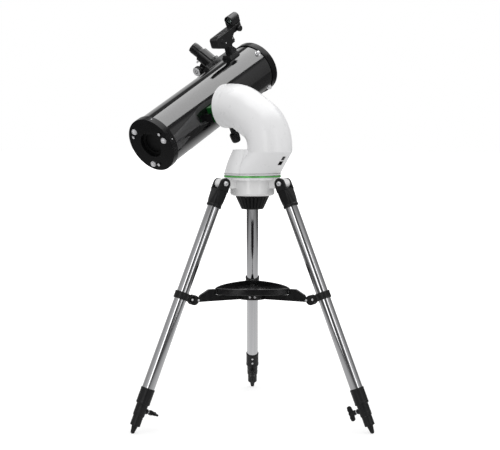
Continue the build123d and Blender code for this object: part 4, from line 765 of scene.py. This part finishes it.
# the plate behind the mirror, and the lock screws' heads
backing = bmesh.new()
turned(backing, [(0, BACKING_LOW), (BACKING_R, BACKING_LOW), (BACKING_R, BACKING_HIGH), (0, BACKING_HIGH)],
       0.2, TO_X)
piece("mirror_backing", backing, TUBE, "tube_assembly", "mirror_cell")

locks = bmesh.new()
for j in range(3):
    lock = turn("X", 120.0 * j - COLLIMATION_ANGLE - LOCK_ANGLE)
    head = lock @ at(TUBE_REAR - 2.6, 0, COLLIMATION_PCR) @ turn("Y", -90)
    screw_cap(locks, head, 3.9, 1.6, 1.5)
for j in range(6):
    head = turn("X", 20.0 + 60.0 * j) @ at(TUBE_REAR + 11.0, 0, END_RING_R - 0.3)
    screw_cap(locks, head, 1.7, 0.8, 0.7)
piece("cell_screws", locks, TUBE, "tube_assembly", "bolt_steel")


def spider():
    """Four thin vanes and the turned holder of the secondary mirror."""
    bm = bmesh.new()
    hub = at(SPIDER_X) @ TO_X
    turned(bm, [(0, -12.0), (SPIDER_HUB_R, -12.0), (SPIDER_HUB_R, 12.0), (0, 12.0)], 1.2, hub)
    turned(bm, [(0, -46.0), (4.0, -46.0), (4.0, 2.0), (0, 2.0)], 0.3, hub, 32)
    # the holder is cut along the mirror's slope
    rim = circle(SECONDARY_R, 48)
    slope = turn("X", -FOCUS_ANGLE)
    back = [slope.inverted() @ Vector((SECONDARY_BACK, x, y)) for x, y in rim]
    face = [slope.inverted() @ Vector((SECONDARY_FRONT, x, y)) + Vector((y, 0, 0)) for x, y in rim]
    loft(bm, [face, back])
    for v in range(VANES):
        spoke = turn("X", -(SPIDER_ANGLE + v * 360.0 / VANES)) @ at(SPIDER_X)
        prism(bm, box_outline(12.0, 1.0, 0.2), 11.0, TUBE_R - 1.3, spoke)
    return bm


piece("spider_vanes", spider(), TUBE, "tube_assembly", "cell_black", hides=["spider"])

nuts = bmesh.new()
for v in range(VANES):
    post = turn("X", -(SPIDER_ANGLE + v * 360.0 / VANES)) @ at(SPIDER_X, 0, TUBE_R)
    turned(nuts, [(0, 0), (7.4, 0), (7.4, 1.0), (0, 1.0)], 0.3, post, 40)
    lathe(nuts, [(0.0, 0.8)] + arc(NUT_R, -22, 14, 8, 0.0, NUT_RISE) + [(0.0, NUT_RISE + NUT_R)], post, 40)
piece("dome_nuts", nuts, TUBE, "tube_assembly", "bolt_steel")

# ---------------------------------------------------------------- focuser
FLANGE_TOP = 79.0
HOUSING_TOP = 87.0
HOUSING_RIM_R = 25.4
DRAW_R = 20.5
DRAW_TOP = 126.0
BARREL_R = 15.85
BARREL_BORE_R = 14.6
BARREL_LOW = 100.2
GRIP_LOW = DRAW_TOP + 0.4
GRIP_R = 16.1
GROOVE_R = 15.4
EYE_RECESS_R = 11.9
EYEPIECE_TOP = 159.5
PINION_LEVEL = 101.0
PINION_Y = 26.0
SHAFT_R = 2.5
SHAFT_HALF = 30.0
FOCUS_KNOB_R = 13.5
FOCUS_KNOB_IN = 27.0
FOCUSER = outward(FOCUS_X, FOCUS_ANGLE)

trim = bmesh.new()
turned(trim, [
    (DRAW_R + 0.3, HOUSING_TOP - 1.0), (HOUSING_RIM_R, HOUSING_TOP - 1.0), (HOUSING_RIM_R, HOUSING_TOP + 0.8),
    (DRAW_R + 0.3, HOUSING_TOP + 0.8),
], 0.5)
for side in (-1, 1):
    prism(trim, box_outline(24.0, 8.0, 1.2), 0.0, 1.4, at(0, 35.4, 97.0 + 8.0 * side) @ turn("X", -90))
piece("focuser_trim", trim, FOCUSER, "tube_assembly", "eyepiece_black", 0.3)

screws = bmesh.new()
for x in (-45.0, 45.0):
    for y in (-20.0, 20.0):
        screw_cap(screws, at(x, y, FLANGE_TOP - 0.2), 2.8, 1.8, 1.2)
for x, y in ((21.0, 8.0), (-21.0, 8.0), (0.0, -22.6)):
    screw_cap(screws, at(x, y, HOUSING_TOP + 0.6), 1.9, 1.4, 0.9)
for x in (-9.0, 0.0, 9.0):
    screw_cap(screws, at(x, 36.6, 105.0) @ turn("X", -90), 1.9, 1.4, 0.9)
piece("focuser_screws", screws, FOCUSER, "tube_assembly", "bolt_steel")

clamp = bmesh.new()
spot = turn("Z", 150.0) @ at(DRAW_R - 1.0, 0, 119.0) @ TO_X
turned(clamp, [(0, 0), (1.5, 0), (1.5, 3.5), (0, 3.5)], 0.2, spot, 24)
tapered(clamp, fluted(3.2, 0.4, 14, 6), [(3.0, 0.9), (3.4, 1.0), (7.6, 1.0), (8.2, 0.88)], spot)
piece("drawtube_clamp", clamp, FOCUSER, "drawtube", "bolt_steel")

for end in (-1, 1):
    knob = bmesh.new()
    hub = at(end * FOCUS_KNOB_IN, PINION_Y, PINION_LEVEL) @ turn("Y", 90 * end)
    tapered(knob, fluted(FOCUS_KNOB_R, 0.8, 30, 6),
            [(0.0, 0.90), (1.0, 0.98), (1.6, 1.0), (12.4, 1.0), (13.2, 0.97), (14.0, 0.88)], hub)
    piece(f"focus_grip_{'ab'[end > 0]}", knob, FOCUSER, "focus_shaft", "black_knob", 0.3,
          ["focus_shaft"] if end > 0 else [], RUBBER)
    face = bmesh.new()
    turned(face, [(0, 10.0), (12.3, 10.0), (12.3, 13.6), (11.4, 14.4), (3.4, 13.9), (2.6, 14.6), (0, 14.6)],
           0.3, hub)
    piece(f"focus_face_{'ab'[end > 0]}", face, FOCUSER, "focus_shaft", "bolt_steel")
shaft = bmesh.new()
turned(shaft, [(0, -SHAFT_HALF), (SHAFT_R, -SHAFT_HALF), (SHAFT_R, SHAFT_HALF), (0, SHAFT_HALF)], 0.2,
       at(0, PINION_Y, PINION_LEVEL) @ TO_X, 32)
piece("focus_axle", shaft, FOCUSER, "focus_shaft", "bolt_steel")

eyepiece = bmesh.new()
turned(eyepiece, [
    (BARREL_BORE_R, BARREL_LOW), (BARREL_R, BARREL_LOW), (BARREL_R, GRIP_LOW), (BARREL_BORE_R, GRIP_LOW),
], 0.3)
profile = [
    (EYE_RECESS_R, GRIP_LOW), (GRIP_R - 0.1, GRIP_LOW), (GRIP_R - 0.1, 131.0), (15.3, 132.0), (15.3, 135.0),
    (GRIP_R, 136.0),
]
for ridge in range(5):
    level = 137.4 + 3.0 * ridge
    profile += [(GRIP_R, level), (GROOVE_R, level + 0.5), (GROOVE_R, level + 1.3), (GRIP_R, level + 1.8)]
profile += [
    (GRIP_R, 154.0), (15.0, 155.0), (15.2, EYEPIECE_TOP - 0.4), (14.4, EYEPIECE_TOP),
    (12.6, EYEPIECE_TOP - 0.6), (EYE_RECESS_R, EYEPIECE_TOP - 5.0),
]
turned(eyepiece, profile, 0.25)
piece("eyepiece_turned", eyepiece, FOCUSER, "eyepiece", "eyepiece_black", hides=["eyepiece"])
lens = bmesh.new()
turned(lens, [(0, 149.6), (EYE_RECESS_R, 150.6), (EYE_RECESS_R, 153.0), (0, 154.4)], 0.2)
piece("eye_lens", lens, FOCUSER, "eyepiece", "eyepiece_black", material=GLASS)

# ---------------------------------------------------------------- red dot finder
FINDER_ANGLE = -4.0
SHOE_X = 180.0
SHOE_LENGTH = 41.0
SHOE_WIDTH = 34.0
SHOE_BACK = SHOE_X - SHOE_LENGTH / 2
SHOE_FRONT = SHOE_X + SHOE_LENGTH / 2
SHOE_TOP = 82.0
STALK_TOP = 106.0
CRADLE_TOP = 113.0
FINDER_BACK = 127.0
FINDER_FRONT = 240.0
FINDER_HALF = 13.0
FINDER_DECK = 146.0
FINDER_CHIN = 132.0
HOOD_BACK = 207.0
HOOD_FRONT = 242.0
HOOD_LEVEL = 165.0
HOOD_R = 13.4
WINDOW_R = 10.4
FINDER_KNOB_R = 8.4
FINDER_KNOB_SETBACK = 15.0
FINDER = TUBE @ turn("X", -FINDER_ANGLE)


def finder_shell():
    """Moulded body: a side profile drawn across, with the window's arch on its front."""
    bm = bmesh.new()
    side = rounded([
        (FINDER_BACK, CRADLE_TOP + 8.0), (FINDER_BACK + 5.0, CRADLE_TOP + 4.0),
        (SHOE_BACK - 10.0, CRADLE_TOP + 0.1), (SHOE_FRONT, CRADLE_TOP + 0.1),
        (SHOE_FRONT - 4.0, CRADLE_TOP + 13.0), (SHOE_FRONT + 3.0, FINDER_CHIN), (FINDER_FRONT, FINDER_CHIN),
        (FINDER_FRONT, FINDER_DECK + 4.0), (HOOD_BACK - 7.0, FINDER_DECK + 2.4),
        (FINDER_BACK + 4.0, FINDER_DECK), (FINDER_BACK, FINDER_DECK - 4.0),
    ], [3.0, 2.0, 1.0, 1.0, 2.0, 2.0, 3.0, 2.0, 6.0, 2.5, 2.0])
    prism(bm, side, -FINDER_HALF, FINDER_HALF, SIDEWAYS)
    arch, window = [], []
    for x, y in circle(1.0, 64):
        reach = 1.0 if x > 0 else min(1.0 / max(abs(y), 0.01), 1.30 / max(-x, 0.01), 1.45)
        arch.append((x * HOOD_R * reach, y * (HOOD_R if x > 0 else HOOD_R - 1.0) * reach))
        window.append((x * WINDOW_R, y * WINDOW_R))
    hood = at(0, 0, HOOD_LEVEL) @ Matrix(((0, 0, 1, 0), (0, 1, 0, 0), (1, 0, 0, 0), (0, 0, 0, 1)))
    hollow(bm, arch, window, HOOD_BACK, HOOD_FRONT, hood)
    return bm


piece("finder_shell", finder_shell(), FINDER, "tube_assembly", "finder_black", 1.6, ["finder_body"])

deck = bmesh.new()
tray_place = at(151.0, 0, FINDER_DECK + 0.4) @ turn("Y", -1.3)
hollow(deck, box_outline(34.0, 17.0, 5.0), box_outline(30.0, 13.0, 3.5), -1.5, 1.6, tray_place)
prism(deck, box_outline(9.0, 7.0, 1.5), -1.5, 2.4, tray_place @ at(-7.0, 0, 0))
for x, length in ((26.0, 3.0), (31.0, 2.0)):
    prism(deck, box_outline(length, 22.0, 0.8), -1.5, 1.0, tray_place @ at(x, 0, 0.4))
for side in (-1, 1):
    cell = at(150.0, side * FINDER_HALF, 131.0) @ turn("X", -90 * side)
    turned(deck, [(0, -2.0), (6.6, -2.0), (6.6, 0.6), (0, 0.6)], 0.5, cell, 40)
piece("finder_deck", deck, FINDER, "tube_assembly", "finder_black", 0.4)

pane = bmesh.new()
turned(pane, [(0, -0.6), (WINDOW_R + 0.3, -0.6), (WINDOW_R + 0.3, 0.6), (0, 0.6)], 0.1,
       at(HOOD_FRONT - 6.0, 0, HOOD_LEVEL) @ turn("Y", 78), 56)
piece("finder_window", pane, FINDER, "tube_assembly", "finder_black", material=GLASS)

bracket = bmesh.new()
shoe = []
for level, length, width in (
    (TUBE_R - 1.2, SHOE_LENGTH, SHOE_WIDTH), (END_RING_R, SHOE_LENGTH, SHOE_WIDTH - 1.0),
    (SHOE_TOP - 4.0, SHOE_LENGTH - 2.0, SHOE_WIDTH - 6.0), (SHOE_TOP, SHOE_LENGTH - 4.0, SHOE_WIDTH - 8.0),
):
    shoe.append([Vector((x + SHOE_X, y, level)) for x, y in box_outline(length, width, 2.0)])
loft(bracket, shoe)
stalk = rounded([
    (SHOE_X - 8.0, SHOE_TOP - 1.0), (SHOE_FRONT - 3.0, SHOE_TOP - 1.0), (SHOE_FRONT + 2.0, SHOE_TOP + 4.0),
    (SHOE_X + 3.0, STALK_TOP), (SHOE_FRONT + 2.0, STALK_TOP + 1.0), (SHOE_FRONT + 2.0, CRADLE_TOP),
    (SHOE_BACK - 6.0, CRADLE_TOP), (SHOE_BACK - 6.0, STALK_TOP + 1.0), (SHOE_X - 8.0, STALK_TOP),
], [0.5, 0.5, 1.0, 4.0, 1.0, 1.0, 1.0, 1.0, 3.0])
prism(bracket, stalk, -FINDER_HALF + 4.0, FINDER_HALF - 4.0, SIDEWAYS)
for side in (-1, 1):
    rib = [
        (SHOE_X - 6.0, SHOE_TOP + 1.0), (SHOE_FRONT - 4.0, SHOE_TOP + 1.0), (SHOE_X + 1.0, STALK_TOP - 3.0),
        (SHOE_X - 6.0, STALK_TOP - 3.0),
    ]
    low, high = sorted((side * 9.0, side * 10.2))
    prism(bracket, rounded(rib, 1.0), low, high, SIDEWAYS)
piece("finder_stalk", bracket, FINDER, "tube_assembly", "finder_black", 0.7, ["finder_bracket"])

knob = bmesh.new()
dial = at(FINDER_FRONT - FINDER_KNOB_SETBACK, -FINDER_HALF - 0.4, FINDER_CHIN + 5.0) @ turn("X", 90)
tapered(knob, fluted(FINDER_KNOB_R, 0.6, 18), [(0.0, 0.9), (1.0, 1.0), (7.6, 1.0), (9.0, 0.86)], dial)
turned(knob, [(0, -25.0), (3.0, -25.0), (3.0, 1.0), (0, 1.0)], 0.3, dial, 24)
piece("finder_dial", knob, FINDER, "finder_knob", "finder_black", 0.3, ["finder_knob"])

pins = bmesh.new()
for x, z in ((SHOE_BACK + 2.0, CRADLE_TOP + 8.0), (SHOE_FRONT - 8.0, CRADLE_TOP + 8.0)):
    for side in (-1, 1):
        screw_cap(pins, at(x, side * (FINDER_HALF - 0.2), z) @ turn("X", -90 * side), 1.8, 1.0, 0.8)
piece("finder_pins", pins, FINDER, "tube_assembly", "bolt_steel")

# ---------------------------------------------------------------- saddle knob
CLAMP_KNOB_R = 13.2
CLAMP_KNOB_TOP = -80.0
CLAMP_NECK_R = 7.5
CLAMP_SPACER_R = 5.0
SADDLE_LOW = -31.5
SCREW_R = 3.0
SCREW_Y = 95.5
SCREW = TILT @ at(y=SCREW_Y)

grip = bmesh.new()
tapered(grip, fluted(1.0, 0.10, 12), [
    (CLAMP_KNOB_TOP - 26.0, 8.6), (CLAMP_KNOB_TOP - 25.2, 10.2), (CLAMP_KNOB_TOP - 22.0, 11.8),
    (CLAMP_KNOB_TOP - 12.0, 13.0), (CLAMP_KNOB_TOP - 4.0, CLAMP_KNOB_R), (CLAMP_KNOB_TOP - 1.0, 12.0),
    (CLAMP_KNOB_TOP, 9.4),
])
turned(grip, [
    (0, CLAMP_KNOB_TOP - 2.0), (CLAMP_NECK_R, CLAMP_KNOB_TOP - 2.0), (CLAMP_NECK_R, -58.6),
    (CLAMP_SPACER_R, -58.4), (CLAMP_SPACER_R, SADDLE_LOW - 0.4), (0, SADDLE_LOW - 0.4),
], 0.5, steps=40)
piece("saddle_grip", grip, SCREW, "saddle_knob", "black_knob", 0.3, ["saddle_knob"])
stud = bmesh.new()
turned(stud, [(0, SADDLE_LOW - 2.0), (SCREW_R, SADDLE_LOW - 2.0), (SCREW_R, -3.4), (0, -3.4)], 0.3, steps=24)
piece("saddle_stud", stud, SCREW, "saddle_knob", "bolt_steel")

# ---------------------------------------------------------------- floor, lamps, world, camera
CAMERA_TURN = 40.0          # the camera looks along this azimuth
CAMERA_DISTANCE = 2919.1    # from the azimuth axis
CAMERA_LEVEL = 753.0
CAMERA_PITCH = 4.817
FOCAL_PIXELS = 1122.77
IMAGE_WIDTH = 500
CENTRE_X = 252.4            # column of the picture that the lens points at
SENSOR = 36.0


def seen_directly(tree, path):
    """One for rays from the camera and for those that pass through glass, nought for the rest."""
    made = node(tree, "ShaderNodeMath", operation="MAXIMUM")
    for socket, ray in zip(made.inputs, ("Is Camera Ray", "Is Transmission Ray")):
        tree.links.new(path.outputs[ray], socket)
    return made.outputs[0]


def either(tree, factor, first, second):
    """The first shader where the factor is nought, the second where it is one."""
    made = node(tree, "ShaderNodeMixShader")
    for socket, value in zip(made.inputs, (factor, first, second)):
        tree.links.new(value, socket)
    return made.outputs[0]


def studio_floor():
    """Pale floor that fades into the white backdrop and still takes the object's shadow.

    In gloss it is a lit oval, longer behind the object, in a darker room.
    """
    material = bpy.data.materials.new("studio_floor")
    material.use_nodes = True
    tree = material.node_tree
    link = tree.links.new
    tree.nodes.clear()
    output = node(tree, "ShaderNodeOutputMaterial")
    path = node(tree, "ShaderNodeLightPath")
    where = node(tree, "ShaderNodeTexCoord")

    def distance(centre, scale, low, high, start, end):
        placing = {"Location": centre, "Rotation": (0, 0, radians(CAMERA_TURN)), "Scale": scale}
        placed = node(tree, "ShaderNodeMapping", placing, vector_type="TEXTURE")
        reach = node(tree, "ShaderNodeVectorMath", operation="LENGTH")
        link(where.outputs["Object"], placed.inputs["Vector"])
        link(placed.outputs[0], reach.inputs[0])
        return spread(tree, reach.outputs["Value"], low, high, start, end)

    bounce = node(tree, "ShaderNodeBsdfDiffuse", {"Color": (0.78, 0.78, 0.78, 1.0)})
    shadowed = node(tree, "ShaderNodeBsdfDiffuse", {"Color": (0.50, 0.50, 0.50, 1.0)})
    glow = node(tree, "ShaderNodeEmission", {"Color": (1.0, 1.0, 1.0, 1.0)})
    link(distance((0, 0, 0), (1, 1, 1), 0.62, 1.0, 0.6, 1.8), glow.inputs["Strength"])
    lit = node(tree, "ShaderNodeAddShader")
    link(shadowed.outputs[0], lit.inputs[0])
    link(glow.outputs[0], lit.inputs[1])
    oval = node(tree, "ShaderNodeEmission", {"Color": (1.0, 1.0, 1.0, 1.0)})
    behind = (2.6 * cos(radians(CAMERA_TURN)), 2.6 * sin(radians(CAMERA_TURN)), 0)
    link(distance(behind, (2.8, 1.3, 1), 0.75, 0.10, 0.8, 1.4), oval.inputs["Strength"])

    indirect = either(tree, path.outputs["Is Glossy Ray"], bounce.outputs[0], oval.outputs[0])
    link(either(tree, seen_directly(tree, path), indirect, lit.outputs[0]), output.inputs["Surface"])
    return material


FLOOR_HALF = 30.0           # metres
grid = bmesh.new()
bmesh.ops.create_grid(grid, x_segments=8, y_segments=8, size=FLOOR_HALF)
floor_mesh = bpy.data.meshes.new("floor")
grid.to_mesh(floor_mesh)
grid.free()
floor_mesh.materials.append(studio_floor())
floor = bpy.data.objects.new("floor", floor_mesh)
bpy.context.scene.collection.objects.link(floor)


def studio_world():
    """Even grey light; seen in gloss it is a white sweep behind the object in a darker room."""
    world = bpy.data.worlds.new("studio")
    bpy.context.scene.world = world
    world.use_nodes = True
    tree = world.node_tree
    link = tree.links.new
    tree.nodes.clear()
    output = node(tree, "ShaderNodeOutputWorld")
    where = node(tree, "ShaderNodeTexCoord")
    mapping = node(tree, "ShaderNodeMapping", {"Rotation": (0, 0, radians(-CAMERA_TURN))})
    around = node(tree, "ShaderNodeTexGradient", gradient_type="RADIAL")
    room = node(tree, "ShaderNodeValToRGB")
    link(where.outputs["Generated"], mapping.inputs["Vector"])
    link(mapping.outputs[0], around.inputs["Vector"])
    link(around.outputs["Fac"], room.inputs["Fac"])
    stops = [
        (0.00, 0.06), (0.03, 0.06), (0.07, 0.50), (0.15, 0.58), (0.28, 0.22), (0.37, 0.22),
        (0.46, 0.60), (0.52, 0.95), (0.57, 0.85), (0.63, 0.50), (0.73, 0.34), (0.80, 0.48),
        (0.90, 0.62), (0.95, 0.60), (0.98, 0.06),
    ]
    ramp = room.color_ramp
    while len(ramp.elements) < len(stops):
        ramp.elements.new(0.5)
    for element, (position, level) in zip(ramp.elements, stops):
        element.position = position
        element.color = (level, level, level, 1.0)
    split = node(tree, "ShaderNodeSeparateXYZ")
    link(where.outputs["Generated"], split.inputs[0])
    ceiling = spread(tree, split.outputs["Z"], 0.0, 1.0, 0.58, 0.68)
    upward = node(tree, "ShaderNodeMix", {"B": (0.12, 0.12, 0.12, 1.0)}, data_type="RGBA")
    link(ceiling, upward.inputs["Factor"])
    link(room.outputs["Color"], upward.inputs["A"])
    gloss = node(tree, "ShaderNodeBackground", {"Strength": 1.0})
    link(upward.outputs["Result"], gloss.inputs["Color"])
    plain = node(tree, "ShaderNodeBackground", {"Color": (1, 1, 1, 1), "Strength": 0.90})
    white = node(tree, "ShaderNodeBackground", {"Color": (1, 1, 1, 1), "Strength": 1.0})
    path = node(tree, "ShaderNodeLightPath")
    indirect = either(tree, path.outputs["Is Glossy Ray"], plain.outputs[0], gloss.outputs[0])
    link(either(tree, seen_directly(tree, path), indirect, white.outputs[0]), output.inputs["Surface"])


def softbox(name, place, width, height, power, mirrored=True):
    """A rectangular lamp that shines along its own -z, seen either in gloss or in plain surfaces."""
    data = bpy.data.lights.new(name, "AREA")
    data.shape = "RECTANGLE"
    data.size = width * MM
    data.size_y = height * MM
    data.energy = power
    lamp = bpy.data.objects.new(name, data)
    bpy.context.scene.collection.objects.link(lamp)
    metres = place.copy()
    metres.translation *= MM
    lamp.matrix_world = metres
    lamp.visible_camera = False
    lamp.visible_diffuse = not mirrored
    lamp.visible_glossy = mirrored


studio_world()
softbox("overhead", at(500, 20, 2400), 3000, 1900, 52.0)
softbox("top_fill", at(100, -300, 2600), 2400, 2400, 10.0, mirrored=False)
for name, azimuth, width, power in (("left_strip", -161.0, 760, 10.0), ("right_strip", -101.0, 420, 6.0)):
    aim = at(0, 0, 900) @ turn("Z", azimuth) @ at(2900, 0, 200) @ turn("Y", 90)
    softbox(name, aim, 2200, width, power)

camera_data = bpy.data.cameras.new("camera")
camera_data.sensor_width = SENSOR
camera_data.lens = FOCAL_PIXELS / IMAGE_WIDTH * SENSOR
camera_data.shift_x = -(CENTRE_X - IMAGE_WIDTH / 2) / IMAGE_WIDTH
camera_data.clip_end = 100.0
camera = bpy.data.objects.new("camera", camera_data)
bpy.context.scene.collection.objects.link(camera)
aimed = MOUNT @ turn("Z", CAMERA_TURN) @ at(-CAMERA_DISTANCE, 0, CAMERA_LEVEL) @ turn("Y", CAMERA_PITCH)
aimed = aimed @ turn("Y", -90) @ turn("Z", -90)
aimed.translation *= MM
camera.matrix_world = aimed
bpy.context.scene.camera = camera
bpy.context.scene.view_settings.view_transform = "Standard"
